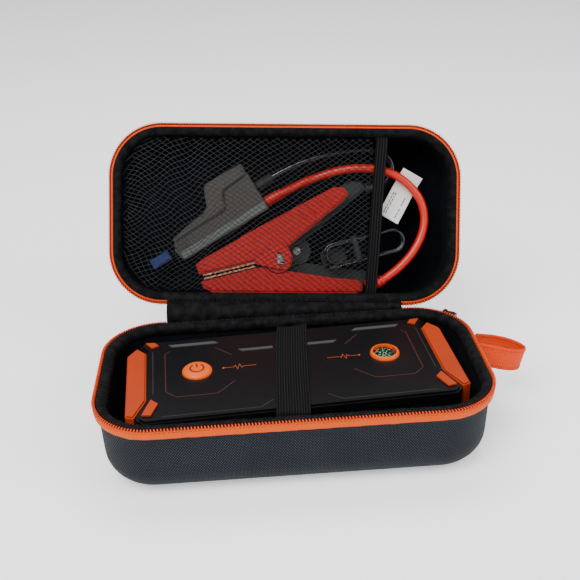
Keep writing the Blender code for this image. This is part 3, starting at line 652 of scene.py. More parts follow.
SYMBOL = plastic_look("key_symbol_brown", (0.14, 0.020, 0.006), 0.5)
LINE_ORANGE = plastic_look("printed_orange", (0.45, 0.07, 0.015), 0.5)
# Painted highlight: a grey lighter than the cover, for the lines along its lit step edges.
COVER_EDGE_HIGHLIGHT = plastic_look("cover_step_painted_highlight", (0.030, 0.030, 0.034), 0.4)
LINE_DIM = plastic_look("printed_dim_orange", (0.10, 0.030, 0.018), 0.5)


# Case

ALL_ROUND = steps(0.0, LOOP, 3.0)[:-1]
ZIP_START = HINGE_HALF + 0.3
ZIP_END = LOOP - ZIP_START
ZIP_RUN = steps(ZIP_START, ZIP_END, 2.0)
SHELL_EDGE = 2.7
TOOTH_PITCH = 1.75         # the lid's teeth stand half a pitch on, so that they mesh when shut
TOOTH_RADIUS = 0.38 * MM
SEWING_RADIUS = 0.2 * MM


def quarter(centre, radius):
    """Points of a quarter turn in a section, from its wall round to its floor."""
    turns = steps(0.0, math.pi / 2, math.pi / 16)
    return [(centre[0] - radius * math.cos(t), centre[1] + radius * math.sin(t)) for t in turns]


def make_shell(side, depth, rounding, draft):
    """Moulded shell: woven skin outside, brushed lining inside, drawn in towards its floor."""
    name = NAMES[side] + "_shell_skin"
    foot = SHELL_EDGE + draft
    turn = (foot + rounding, depth - rounding)
    middle = [(CASE_R, depth, 0.0), (CASE_R, depth, 0.5), (CASE_R, depth), (foot + rounding + 7, depth)]
    skin = list(reversed(quarter(turn, rounding)))
    wall = [(SHELL_EDGE + draft * k, 11 + (depth - rounding - 11) * k) for k in (0.8, 0.6, 0.4, 0.2, 0.0)]
    rim = [(2.3, 9.0), (1.9, 7.6), (1.6, 6.2), (2.2, 5.6), (4.6, 5.8), (5.8, 7.0)]
    lining = [(x + WALL, y) for x, y in reversed(wall)]
    cove = quarter(turn, rounding - WALL)
    inside = depth - WALL
    centre = [(foot + rounding + 7, inside), (CASE_R, inside), (CASE_R, inside, 0.5), (CASE_R, inside, 0.0)]
    section = middle + skin + wall + rim + lining + cove + centre
    outer = len(middle) + len(skin) + len(wall) + 3
    kinds = [0 if j < outer else 1 for j in range(len(section))]
    flat = [j < len(middle) + 4 or j > len(section) - 9 for j in range(len(section))]
    mesh = sweep_round(name, side, ALL_ROUND, section, True, False, kinds, flat)
    shell = NAMES[side] + "_shell"
    finish_mesh(name, mesh, [SHELL, LINING], BODIES[side], [shell], weld=1e-6)


def make_binding(side):
    """The padded roll inside the zip, gathered into small puckers where it is sewn."""
    name = NAMES[side]
    body = BODIES[side]
    section = [
        (1.7, 0.9), (2.5, 0.3), (4.0, 0.15), (5.6, 0.5), (6.9, 1.5), (7.5, 3.0), (7.5, 4.8), (6.9, 6.4),
        (5.2, 7.2), (1.7, 7.0),
    ]
    middle = (4.4, 3.8)

    def shape(s):
        pucker = 0.075 * ripple(s, (131, 173, 211, 97), 11 + side)
        sag = 0.05 * ripple(s, (13, 23, 37), 21 + side)
        made = []
        for inset, depth in section:
            free = max(0.0, min(1.0, (inset - 2.0) / 3.0))
            grow = 1.0 + free * (pucker + sag - 0.06)
            made.append((middle[0] + (inset - middle[0]) * grow, middle[1] + (depth - middle[1]) * grow))
        return made

    stations = steps(0.0, LOOP, 0.75)[:-1]
    mesh = sweep_round(name + "_rim_roll", side, stations, shape, True)
    finish_mesh(name + "_rim_roll", mesh, [BINDING], body, [name + "_rim_binding"])

    def sewn(s):
        return case_point(side, s, 2.6, 0.25)

    seam = dashes(name + "_rim_seam", sewn, 0.0, LOOP, 3.1, 2.2, 0.16 * MM)
    finish_mesh(name + "_rim_seam", seam, [BLACK_THREAD], body)


def make_zip(side):
    """Orange zip tape with its sewn line, and the coil on its edge."""
    name = NAMES[side]
    body = BODIES[side]

    def tape(s):
        hem = 0.22 * ripple(s, (31, 53, 71), 5 + side)
        swell = 0.12 * ripple(s, (9, 14, 26), 8 + side)
        return [
            (0.35, 1.15),
            (-0.05 - swell, 1.9),
            (-0.15 - swell, 3.4),
            (-0.10, 5.0),
            (0.10, 6.1 + hem),
            (0.45, 6.5 + hem),
            (1.25, 6.5), (1.45, 5.6), (1.5, 1.8), (1.2, 1.2),
        ]

    mesh = sweep_round(name + "_tape_cloth", side, ZIP_RUN, tape, False)
    look = LID_TAPE if side == LID else TAPE
    finish_mesh(name + "_tape_cloth", mesh, [look], body, [name + "_zip_tape"])
    if side == LID:
        fold = [(1.35, 0.95), (1.45, 0.42), (2.0, 0.3), (2.5, 0.35), (2.6, 0.75), (1.9, 1.0)]
        mesh = sweep_round("lid_tape_fold", side, ZIP_RUN, fold, False)
        finish_mesh("lid_tape_fold", mesh, [look], body)

    def sewn(s):
        return case_point(side, s, -0.12, 2.3 if side == BASE else 5.2)

    seam = dashes(name + "_tape_seam", sewn, ZIP_START + 1, ZIP_END - 1, 2.3, 1.5, SEWING_RADIUS)
    finish_mesh(name + "_tape_seam", seam, [ORANGE_THREAD], body)
    # The core cord's dark colour is painted shade for the gaps between the teeth.
    cord = [(0.05, 0.95), (0.3, 0.6), (0.9, 0.6), (1.15, 0.95), (0.9, 1.25), (0.3, 1.25)]
    core = sweep_round(name + "_coil_cord_painted_shade", side, ZIP_RUN, cord, False)
    finish_mesh(name + "_coil_cord_painted_shade", core, [COIL_CORD_PAINTED_SHADE], body)
    teeth = []
    shift = 0.5 if side == LID else 0.0
    for i in range(int((ZIP_END - ZIP_START) / TOOTH_PITCH)):
        s = ZIP_START + TOOTH_PITCH * (i + 0.25 + shift)
        if side == LID:
            hook = [(-0.2, -0.3, 0.85), (-0.1, -0.1, 0.46), (0.0, 0.5, 0.4), (0.1, 1.15, 0.46)]
        else:
            hook = [(-0.22, -0.3, 0.9), (-0.1, 0.0, 0.45), (0.0, 0.5, 0.38), (0.1, 1.1, 0.5), (0.2, 1.3, 0.9)]
        points = [case_point(side, s + along, inset, depth) for along, inset, depth in hook]
        teeth.append(tube(name + "_coil", points, TOOTH_RADIUS, 6))
    coil = joined(name + "_coil", teeth)
    finish_mesh(name + "_coil", coil, [COIL], body, [name + "_zip_teeth"])


def make_hinge():
    """The fabric along the back that joins the two halves: it bends round the lid's axis."""
    slack = CASE_Y - 0.9
    thick = 1.0
    angles = steps(0.0, 1.0, 1 / 14)
    rows = []
    weights = []
    stations = steps(-HINGE_HALF, HINGE_HALF, 2.0)
    for x in stations:
        row = []
        shares = []
        gather = 0.25 * math.sin(x * 0.9) + 0.2 * math.sin(x * 0.37 + 1.0)
        for face in (0, 1):
            y = slack - thick * face
            run = [(RIM_Z - 6.4, 0.0), (RIM_Z - 3.2, 0.0)]
            run += [(RIM_Z, w) for w in angles]
            run += [(RIM_Z + 3.2, 1.0), (RIM_Z + 6.4, 1.0)]
            if face:
                run = list(reversed(run))
            for z, w in run:
                bow = gather * math.sin(math.pi * w)
                turn = Matrix.Rotation(OPEN_ANGLE * w, 4, HINGE_AXIS)
                point = Vector((x, y - abs(bow), z)) * MM - HINGE_AT
                row.append(turn @ point + HINGE_AT)
                shares.append(w)
        rows.append(row)
        weights += shares
    v = [i * 1.2 for i in range(len(rows[0]) + 1)]
    mesh = grid("back_gusset", rows, stations + [stations[-1]], v, False, True)
    piece = finish_mesh("back_gusset", mesh, [BINDING], None, ["fabric_hinge"])
    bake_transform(piece)


def make_foam_pad():
    """Foam pad on the base's floor, with its edges rounded over."""
    section = [
        (CASE_R, 44.5, 0.0),
        (CASE_R, 44.5),
        (19.5, 44.5), (17.3, 43.6), (16.9, 41.4), (17.7, 39.3), (20.5, 38.4), (26.0, 38.3),
        (CASE_R, 38.3),
        (CASE_R, 38.3, 0.0),
    ]
    mesh = sweep_round("seat_foam", BASE, ALL_ROUND, section, True, False)
    pad = finish_mesh("seat_foam", mesh, [foam_look()], "case_base", ["foam_pad"], weld=1e-6)


def open_mesh(mesh):
    """Swings a mesh drawn with the lid shut, in metres, to where the open lid holds it."""
    mesh.transform(LID_OPEN)
    return mesh


def lay_band(name, route, side_way, section, look, body, replaced, spacing=1.6):
    """A strap along a route in millimetres, lying across side_way; one in the lid is drawn shut.
    section is its half width, thickness, number of ribs and their height."""
    centres = [p * MM for p in smooth_route(route, spacing)]
    across = []
    up = []
    for i in range(len(centres)):
        ahead = heading_at(centres, i)
        side = Vector(side_way)
        side = (side - ahead * side.dot(ahead)).normalized()
        across.append(side)
        up.append(side.cross(ahead))
    mesh = band(name, centres, across, up, *section)
    if body == "lid":
        open_mesh(mesh)
    finish_mesh(name, mesh, [look], body, replaced)
    return centres, across, up


def make_unit_strap():
    """Ribbed elastic over the power unit, sewn down inside the front and back walls."""
    top = UNIT_TOP + 1.1
    route = [
        (-2.8, -48.7, top - 5.2),
        (-2.6, -45.6, top - 1.2),
        (-2.2, -42.0, top),
        (0.0, 0.0, top + 0.2),
        (3.0, 41.6, top),
        (3.6, 44.8, top - 1.2),
        (4.0, 47.9, top - 5.2),
    ]
    section = (9.2, 1.6, 10, 0.75)
    lay_band("unit_strap", route, (1, 0, 0), section, ELASTIC, "case_base", ["elastic_strap"])


def make_wrist_loop():
    """A loop of orange webbing sewn on its edge to the right end, with its edges stitched."""
    sewn = CASE_X + 0.3
    route = [
        (sewn, 10.0, 39.3),
        (116.0, 9.0, 38.4), (123.0, 8.2, 36.8), (131.0, 8.4, 34.6), (137.5, 11.0, 32.6),
        (140.5, 15.5, 31.4), (138.5, 20.5, 31.6), (132.0, 23.6, 33.4), (123.5, 23.6, 36.0),
        (116.0, 22.4, 38.0),
        (sewn, 21.4, 39.3),
    ]
    section = (7.3, 1.5, 7, 0.3)
    centres, across, up = lay_band(
        "wrist_webbing", route, (1.6, 0.0, 7.1), section, STRAP, "case_base", ["wrist_strap"]
    )
    made = []
    for edge in (-5.6, 5.6):
        for face in (-1, 1):
            line = [c + a * edge * MM + b * face * 0.72 * MM for c, a, b in zip(centres, across, up)]
            made.append(dashes("strap_seam", along(line), 1.0, len(line) - 2.0, 1.7, 1.2, SEWING_RADIUS))
    seam = joined("strap_seam", made)
    finish_mesh("strap_seam", seam, [ORANGE_THREAD], "case_base")


def paint(node, look):
    """Puts a finished material on a CAD node's own faces."""
    mesh = frame["nodes"][node].data
    mesh.materials.clear()
    mesh.materials.append(look)


make_shell(BASE, BASE_DEPTH, 18.0, 0.6)
make_shell(LID, LID_DEPTH, 15.0, 0.3)
for half_of_case in (BASE, LID):
    make_binding(half_of_case)
    make_zip(half_of_case)
make_hinge()
make_foam_pad()
make_unit_strap()
make_wrist_loop()


# Lid contents, drawn with the case shut: depth is above the parting plane

CABLE_D = 5.4
POCKET_EDGE = ((57.3, -48.8), (51.3, 48.8))
BAND_WIDE = 7.4
NET_CELL = (4.8, 3.3)
NET_INSET = 7.9
YARN_RADIUS = 0.2 * MM


def shut(x, y, depth):
    return Vector((x, y, RIM_Z + depth))


def pocket_edge_x(y):
    (x0, y0), (x1, y1) = POCKET_EDGE
    return x0 + (x1 - x0) * (y - y0) / (y1 - y0)


def in_pocket(x, y, inset):
    """Whether a point is inside the net's outline."""
    if x > pocket_edge_x(y) + 1.0:
        return False
    half = (CASE_X - inset, CASE_Y - inset)
    corner = CASE_R - inset
    dx = abs(x) - (half[0] - corner)
    dy = abs(y) - (half[1] - corner)
    if dx > 0 and dy > 0:
        return math.hypot(dx, dy) < corner
    return dx < corner and dy < corner


def net_depth(x, y):
    """The slack net bellies out a little between its sewn edges."""
    edge = min(CASE_X - 8 - abs(x), CASE_Y - 8 - abs(y), pocket_edge_x(y) - x + 6)
    belly = 1.0 - math.exp(-max(edge, 0.0) / 9.0)
    sag = 0.35 * math.sin(x * 0.061 + 1.0) * math.sin(y * 0.083)
    return 4.0 - 1.5 * belly + sag * belly


def net_shift(x, y):
    """The net is pulled a little out of square."""
    slack = max(0.0, -x - 20.0) / 80.0
    dx = 1.4 * math.sin(y * 0.071 + 0.6) + 0.7 * math.sin(x * 0.09 + y * 0.13)
    dy = 1.3 * math.sin(x * 0.052) + 0.5 * math.sin(x * 0.21 + 1.3)
    dx += slack * (5.0 * math.sin(y * 0.075 + 0.9) + 1.6 * math.sin(y * 0.26 + x * 0.05))
    dy += slack * (4.0 * math.sin(x * 0.085 + y * 0.03) + 1.2 * math.sin(x * 0.3))
    return x + dx, y + dy


def make_net():
    """Diamond net: two families of yarns that cross at every knot."""
    cell_x, cell_y = NET_CELL
    made = []
    y_low = -CASE_Y
    rows = int(2 * CASE_Y / (cell_y / 2)) + 1
    slope = cell_x / cell_y
    for way in (1, -1):
        spread = 2 * CASE_Y * slope
        count = int((2 * CASE_X + spread) / cell_x) + 2
        for n in range(count):
            x_low = -CASE_X + n * cell_x - (spread if way > 0 else 0.0)
            runs = [[]]
            for i in range(rows):
                y = y_low + i * cell_y / 2
                x = x_low + way * slope * (y - y_low)
                x, y = net_shift(x, y)
                if in_pocket(x, y, NET_INSET):
                    runs[-1].append(in_lid(x, y, net_depth(x, y)))
                else:
                    runs.append([])
            made += [tube("yarn", run, YARN_RADIUS, 4) for run in runs if len(run) > 2]
    mesh = joined("pocket_net", made)
    finish_mesh("pocket_net", mesh, [NET], "lid", ["mesh_pocket"])


def make_pocket_band():
    """Ribbed elastic along the net's free edge, with its sewn line."""
    (x0, y0), (x1, y1) = POCKET_EDGE
    shift = BAND_WIDE / 2
    route = [(x0 + shift, y0 - 1.5, 4.6), (x0 + shift, y0 + 3.0, 3.0)]
    for k in (0.25, 0.5, 0.75):
        route.append((x0 + (x1 - x0) * k + shift, y0 + (y1 - y0) * k, 2.8))
    route += [(x1 + shift, y1 - 3.0, 3.0), (x1 + shift, y1 + 1.5, 4.6)]
    way = (1.0, (x0 - x1) / (y1 - y0), 0.0)
    route = [shut(*p) for p in route]
    section = (shift, 1.5, 5, 0.35)
    centres, across, up = lay_band(
        "pocket_band", route, way, section, ELASTIC, "lid", ["pocket_elastic"]
    )
    line = [LID_OPEN @ (c - a * 2.6 * MM + b * 0.72 * MM) for c, a, b in zip(centres, across, up)]
    seam = dashes("pocket_seam", along(line), 2.0, len(line) - 3.0, 1.6, 1.1, SEWING_RADIUS)
    finish_mesh("pocket_seam", seam, [BLACK_THREAD], "lid")


RED_ROUTE = [
    (-12.6, -9.0, 29.0), (-6.5, -12.8, 28.6), (2.0, -17.0, 26.5), (12.0, -21.8, 23.0),
    (23.5, -26.0, 19.0), (36.0, -29.5, 16.0), (49.0, -30.8, 14.5), (62.0, -29.5, 14.0),
    (73.0, -25.5, 14.0), (82.0, -18.2, 14.0), (88.0, -9.5, 14.0), (90.4, 0.5, 14.0), (89.2, 10.5, 13.8),
    (84.8, 20.5, 13.3), (77.8, 29.6, 12.6), (69.4, 37.2, 12.0), (60.6, 42.8, 11.6), (52.2, 45.6, 11.6),
]
BLACK_ROUTE = [
    (-19.0, -19.1, 30.5), (-12.5, -23.3, 30.5), (0.0, -30.5, 30.3), (14.0, -36.6, 30.0),
    (30.0, -41.0, 29.4), (46.0, -43.7, 28.8), (58.5, -43.9, 28.2), (67.2, -40.3, 27.8),
    (70.8, -31.6, 27.6), (67.2, -22.9, 27.6), (58.5, -19.3, 27.6), (52.9, -18.6, 27.6),
]


def make_clamp_cable(name, route, look, node):
    """A clamp's cable from the module to its handle, with a ribbed boot at each end."""
    points = [LID_OPEN @ (p * MM) for p in smooth_route([shut(*p) for p in route], 2.5)]
    cable = finish_mesh(name, tube(name, points, CABLE_D / 2 * MM, 16), [look], "lid", [node])
    boots = []
    for line in (points[:6], list(reversed(points[-6:]))):
        fine = smooth_line(line)
        count = len(fine)
        radii = []
        for i in range(count):
            ridge = 0.32 if (i // 2) % 2 else 0.0
            radii.append((CABLE_D / 2 + 0.95 - 0.6 * i / count + ridge) * MM)
        boots.append(tube(name + "_boot", fine, radii, 16))
    sleeve = RUBBER if look is CABLE_BLACK else look
    boot = finish_mesh(name + "_boot", joined(name + "_boot", boots), [sleeve], "lid")


HANK_PLACE = Matrix.Translation(shut(51.0, 20.6, 10.2)) @ Matrix.Rotation(math.radians(-14.5), 4, "Z")
LEAD_D = 1.9
HANK_RUN = 18.9
HANK_WIDE = 7.68
LEAD_PITCH = 1.94
LAYERS = 4
LAYER_LOW = -3.25
LAYER_RISE = 2.15
HANK_TURNS = 3.49
TIE_MIDDLE = -5.0
TIE_HALF = (8.75, 4.6)
TIE_POINTS = 40


def hank_point(turn):
    """A point of the lead after this many turns: it spirals in and out in flat layers."""
    layer = min(int(turn), LAYERS - 1)
    part = turn - layer
    shrink = part if layer % 2 == 0 else 1.0 - part
    wide = HANK_WIDE - LEAD_PITCH * shrink
    rise = layer
    if layer and part < 0.3:
        k = part / 0.3
        rise = layer - 1 + k * k * (3 - 2 * k)
    z = LAYER_LOW + LAYER_RISE * rise
    round_trip = 4 * HANK_RUN + math.tau * wide
    gone = (turn % 1.0) * round_trip
    if gone < 2 * HANK_RUN:
        return Vector((-HANK_RUN + gone, wide, z))
    gone -= 2 * HANK_RUN
    if gone < math.pi * wide:
        angle = math.pi / 2 - gone / wide
        return Vector((HANK_RUN + wide * math.cos(angle), wide * math.sin(angle), z))
    gone -= math.pi * wide
    if gone < 2 * HANK_RUN:
        return Vector((HANK_RUN - gone, -wide, z))
    gone -= 2 * HANK_RUN
    angle = -math.pi / 2 - gone / wide
    return Vector((-HANK_RUN + wide * math.cos(angle), wide * math.sin(angle), z))


def in_hank(point):
    return LID_OPEN @ ((HANK_PLACE @ point) * MM)


def make_charge_lead():
    """The thin charging lead, wound into a tied hank, with its plug behind it."""
    turns = steps(0.0, HANK_TURNS, 1 / 56)
    wound = [hank_point(t) for t in turns]
    lead_out = [wound[-1], (14.0, -6.5, 3.7), (6.0, -6.3, 5.3)]
    lead_out += [(-2.0, -4.0, 6.9), (-8.0, -0.4, 7.9), (-12.2, 1.0, 8.0)]
    local = wound[:-1] + smooth_route(lead_out, 1.6)
    points = [in_hank(p) for p in local]
    mesh = tube("charge_lead", points, LEAD_D / 2 * MM, 10)
    lead = finish_mesh("charge_lead", mesh, [CABLE_BLACK], "lid", ["charge_cable"])
    loop = []
    for i in range(TIE_POINTS):
        t = math.tau * i / TIE_POINTS
        c = math.copysign(abs(math.cos(t)) ** 0.45, math.cos(t))
        s = math.copysign(abs(math.sin(t)) ** 0.45, math.sin(t))
        loop.append((TIE_HALF[0] * c, TIE_HALF[1] * s))
    rows = []
    edges = ((-2, 1), (2, 1), (2, 1.06), (-2, 1.06))
    for y, z in loop:
        rows.append([in_hank(Vector((TIE_MIDDLE + x, y * k, z * k))) for x, k in edges])
    flat = [i * 1.1 for i in range(TIE_POINTS + 1)]
    tie_mesh = grid("lead_tie", rows, flat, [0, 4, 4.5, 8.5, 9], True, True)
    tie = finish_mesh("lead_tie", tie_mesh, [RUBBER], "lid")
    tip = [in_hank(hank_point(0.0) + Vector((x, 0.0, 0.0))) for x in (1.0, -0.5, -1.2, -3.0, -5.4, -6.2)]
    tip_mesh = tube("lead_tip", tip, [r * MM for r in (1.05, 1.3, 1.55, 1.6, 1.6, 1.3)], 14)
    tip_piece = finish_mesh("lead_tip", tip_mesh, [RUBBER], "lid")


def make_label():
    """A paper flag folded round the red cable, with plain bars where print would be."""
    route = [(83.0, -27.9, 15.4), (79.6, -21.8, 17.5), (76.5, -16.3, 17.3)]
    route += [(71.5, -7.3, 14.0), (66.4, 1.8, 10.6)]
    way = Vector((0.873, 0.49, 0.0))
    route = [shut(*p) for p in route]
    section = (7.2, 0.35, 0, 0.0)
    centres, across, up = lay_band(
        "cable_flag", route, way, section, LABEL, "lid", ["cable_label"], 1.2
    )
    chance = random.Random(4)
    bars = []
    for offset in (-4.6, -3.2, 3.6):
        s = 15.0
        while s < len(centres) - 3:
            size = chance.uniform(0.8, 2.4)
            i = int(s)
            ahead = (centres[i + 1] - centres[i]).normalized()
            middle = centres[i] + across[i] * offset * MM - up[i] * 0.2 * MM
            made = bpy.data.meshes.new("bar")
            half = (ahead * size * 0.5 * MM, across[i] * 0.32 * MM)
            ways = ((-1, -1), (1, -1), (1, 1), (-1, 1))
            corners = [middle + half[0] * a + half[1] * b for a, b in ways]
            lift = -up[i] * 0.05 * MM
            verts = [tuple(c) for c in corners] + [tuple(c + lift) for c in corners]
            faces = [(0, 1, 2, 3), (7, 6, 5, 4), (0, 4, 5, 1), (1, 5, 6, 2), (2, 6, 7, 3), (3, 7, 4, 0)]
            made.from_pydata(verts, [], faces)
            bars.append(made)
            s += size / 1.2 + 0.7
    mesh = open_mesh(joined("flag_bars", bars))
    finish_mesh("flag_bars", mesh, [PRINT], "lid", smooth=False)


# Power unit details

def inlay(name, line, half, low, high, look, body, closed=False):
    """A fine line of its own width, along corners in the unit's plan, from low to high."""
    points = [Vector(p) for p in line]
    rows = []
    count = len(points)
    for i, p in enumerate(points):
        before = points[i - 1] if i or closed else None
        after = points[(i + 1) % count] if i < count - 1 or closed else None
        a = (p - before).normalized() if before is not None else (after - p).normalized()
        b = (after - p).normalized() if after is not None else a
        normal = Vector((-(a + b).y, (a + b).x)).normalized()
        reach = half / max(0.3, normal.dot(Vector((-a.y, a.x))))
        left = p + normal * reach
        right = p - normal * reach
        section = ((left, low), (right, low), (right, high), (left, high))
        rows.append([unit_point(*p, z) for p, z in section])
    flat = [i * 2.0 for i in range(count + 1)]
    mesh = grid(name, rows, flat, [0, 1, 2, 3, 4], closed, True)
    return finish_mesh(name, mesh, [look], body, smooth=False)


def circle(centre, radius, size):
    """Corners of a circle in plan, about size radians apart."""
    turns = steps(0, math.tau, size)[:-1]
    return [(centre[0] + radius * math.cos(t), centre[1] + radius * math.sin(t)) for t in turns]


def mirrored(points, side):
    return [(x * side, y) for x, y in points]


def make_unit_marks():
    """The fine inlaid lines, the pulse lines and the key's symbol."""
    frame_line = [(34.0, -9.2), (44.7, -20.2), (67.2, -20.4), (73.3, -14.4), (73.3, 25.6), (70.6, 28.6)]
    short_line = [(43.6, 28.6), (34.0, 18.4)]
    pulse = [
        (39.0, 4.7), (33.9, 4.7), (33.0, 6.4), (31.8, 2.2), (30.4, 7.4), (29.2, 3.6), (28.4, 4.8),
        (20.8, 4.9),
    ]
    low = UNIT_TOP - 0.1
    for side, word in ((-1, "left"), (1, "right")):
        for k, line in enumerate((frame_line, short_line)):
            name = f"inlay_{word}_{k}"
            line = mirrored(line, side)
            inlay(name, line, 0.16, low, UNIT_TOP + 0.04, LINE_DIM, "case_base")
        line = mirrored(pulse, side)
        inlay(f"pulse_{word}", line, 0.15, low, UNIT_TOP + 0.06, LINE_ORANGE, "case_base")
        dot = mirrored(circle((39.9, 4.7), 0.75, 0.4), side)
        bm = bmesh.new()
        ring = [bm.verts.new(unit_point(x, y, UNIT_TOP + 0.08)) for x, y in dot]
        top = bm.faces.new(ring)
        made = bmesh.ops.extrude_face_region(bm, geom=[top])
        for vert in [g for g in made["geom"] if isinstance(g, bmesh.types.BMVert)]:
            vert.co.z -= 0.2 * MM
        mesh = bpy.data.meshes.new("pulse_dot")
        bm.to_mesh(mesh)
        bm.free()
        name = f"pulse_dot_{word}"
        finish_mesh(name, mesh, [LINE_ORANGE], "case_base", smooth=False)
    centre = Vector((-KEY_X, KEY_Y))
    top = UNIT_TOP + 2.3
    turn = [centre + 3.9 * Vector((math.sin(t), math.cos(t))) for t in steps(0.6, math.tau - 0.6, 0.2)]
    inlay("key_symbol_ring", turn, 0.5, top - 0.3, top + 0.12, SYMBOL, "power_button")
    bar = [centre + Vector((0.0, 0.6)), centre + Vector((0.0, 4.6))]
    inlay("key_symbol_bar", bar, 0.5, top - 0.3, top + 0.12, SYMBOL, "power_button")


def make_cover_steps():
    """Painted highlights: fine lighter lines where the cover steps down along its front and beside its caps,
    standing in for its lit edges.
    """
    front = [(15.0, -31.5), (22.5, -37.6), (76.0, -37.6)]
    beside = [(80.4, -15.5), (80.4, 29.5)]
    for side in (-1, 1):
        for place, line in (("front", front), ("beside", beside)):
            name = f"cover_step_{place}_{side}"
            line = mirrored(line, side)
            inlay(name, line, 0.22, UNIT_TOP - 0.1, UNIT_TOP + 0.06, COVER_EDGE_HIGHLIGHT, "case_base")


def make_compass_marks():
    """White divisions, green points and a ring round the needle's hub on the compass card."""
    centre = Vector((KEY_X, KEY_Y))
    top = UNIT_TOP - 0.6
    card = "compass_card"
    for i in range(24):
        angle = math.tau * i / 24
        way = Vector((math.cos(angle), math.sin(angle)))
        inner = 4.4 if i % 3 == 0 else 5.1
        line = [centre + way * inner, centre + way * 6.0]
        half = 0.15 if i % 3 == 0 else 0.10
        inlay(f"tick_{i}", line, half, top - 0.1, top + 0.08, TICKS, card)
    for i in range(8):
        angle = math.tau * (i + 0.15) / 8
        way = Vector((math.cos(angle), math.sin(angle)))
        line = [centre + way * 2.2, centre + way * 3.7]
        inlay(f"green_{i}", line, 0.5, top - 0.1, top + 0.1, GREEN, card)
    hub = circle(centre, 1.2, 0.5)
    inlay("needle_ring", hub, 0.12, top - 0.1, top + 0.14, TICKS, card, True)


def lid_plate(name, outline, low, high, look, body, hole=None):
    """A flat moulding in the lid, drawn shut; its outline may have one hole."""
    made = bpy.data.curves.new(name, "CURVE")
    made.dimensions = "2D"
    made.fill_mode = "BOTH"
    made.extrude = (high - low) / 2 * MM
    made.bevel_depth = 0.22 * MM
    made.bevel_resolution = 2
    made.offset = -0.22 * MM
    for ring in [outline] + ([hole] if hole else []):
        spline = made.splines.new("POLY")
        spline.points.add(len(ring) - 1)
        spline.use_cyclic_u = True
        for point, (x, y) in zip(spline.points, ring):
            point.co = (x * MM, y * MM, 0.0, 1.0)
    holder = add_object(name, made)
    bpy.context.view_layer.update()
    mesh = bpy.data.meshes.new_from_object(holder.evaluated_get(bpy.context.evaluated_depsgraph_get()))
    bpy.data.objects.remove(holder)
    bpy.data.curves.remove(made)
    mesh.transform(Matrix.Translation((0.0, 0.0, (RIM_Z + (low + high) / 2) * MM)))
    mesh.materials.clear()
    finish_mesh(name, open_mesh(mesh), [look], body, smooth=False, weld=1e-7)


def rounded_corners(points, radius, count=5):
    """An outline with each corner replaced by a short curve."""
    made = []
    size = len(points)
    for i in range(size):
        a, p, b = (Vector(points[(i + k) % size]) for k in (-1, 0, 1))
        before = p + (a - p).normalized() * min(radius, (a - p).length / 2)
        after = p + (b - p).normalized() * min(radius, (b - p).length / 2)
        for k in range(count + 1):
            t = k / count
            made.append(tuple(before * (1 - t) ** 2 + p * 2 * t * (1 - t) + after * t * t))
    return made


def make_clamp_cheek():
    """The red clamp's cheek over its pivot, with the window that shows the spring."""
    cheek = [
        (-20.5, 31.0), (-17.0, 26.6), (-9.0, 20.4), (-1.5, 18.4), (3.4, 21.6), (4.2, 28.0), (2.2, 35.2),
        (-9.0, 33.6),
    ]
    window = []
    for t in steps(0, math.tau, 0.3)[:-1]:
        window.append((-2.6 + 2.5 * math.cos(t) + 1.2 * math.sin(t), 28.4 + 4.7 * math.sin(t)))
    outline = rounded_corners(cheek, 2.2)
    lid_plate("clamp_cheek", outline, 3.9, 4.8, CLAMP_RED, "red_clamp_lever", window)
    coils = []
    for k in range(4):
        y = 25.6 + 1.75 * k
        ends = [(-5.6, y - 0.5), (-3.0, y - 0.1), (0.4, y + 0.6)]
        line = [in_lid(*end, 5.1) for end in ends]
        coils.append(tube("spring_turn", smooth_line(line), 0.55 * MM, 8))
    finish_mesh("spring_turns", joined("spring_turns", coils), [SPRING], "lid")


def make_clamp_ribs():
    """Grip bars near the end of the red clamp's upper handle."""
    for n, k in enumerate((0.30, 0.46, 0.62, 0.78)):
        x = 1.0 + 33.0 * k
        y = 5.6 - 22.0 * k
        bar = [(x - 2.6, y - 2.6), (x - 1.4, y - 3.4), (x + 3.4, y + 2.6), (x + 2.2, y + 3.4)]
        outline = rounded_corners(bar, 0.5, 3)
        lid_plate(f"grip_{n}", outline, 4.95, 5.9, CLAMP_RED, "red_clamp_lever")


SEAM = [
    (-71.6, 18.2), (-52.3, 5.3), (-41.5, -1.4), (-38.3, -5.6), (-39.6, -10.7), (-39.6, -15.8),
    (-25.6, -26.2),
]


def make_module_marks():
    """The dark joint between the module's shells, a painted highlight strip for its lit lower edge and the
    ribs of its cable grip.
    """
    line = smooth_line([in_lid(x + 0.15, y + 0.15, 17.8) for x, y in SEAM])
    joint = dashes("module_joint", along(line), 1.0, len(line) - 2.0, 4.2, 2.9, 0.36 * MM)
    finish_mesh("module_joint", joint, [BLACK_THREAD], "lid")
    # Painted highlight: a thin lighter plate along the lower edge.
    strip = [(-64.9, 28.3), (-68.4, 25.0), (-14.0, -9.2), (-11.6, -5.2)]
    outline = rounded_corners(strip, 0.6, 3)
    lid_plate("module_strip", outline, 17.98, 18.3, MODULE_EDGE_HIGHLIGHT, "lid")
    for n in range(4):
        start = Vector((-68.6 + 2.3 * n, 24.0 - 1.5 * n))
        way = Vector((-0.56, -0.83))
        side = Vector((0.83, -0.56))
        bar = [start + side * 0.5, start - side * 0.5]
        bar += [corner + way * 6.0 for corner in reversed(bar)]
        outline = rounded_corners([tuple(p) for p in bar], 0.4, 3)
        lid_plate(f"module_rib_{n}", outline, 17.45, 18.4, MODULE_GREY, "lid")


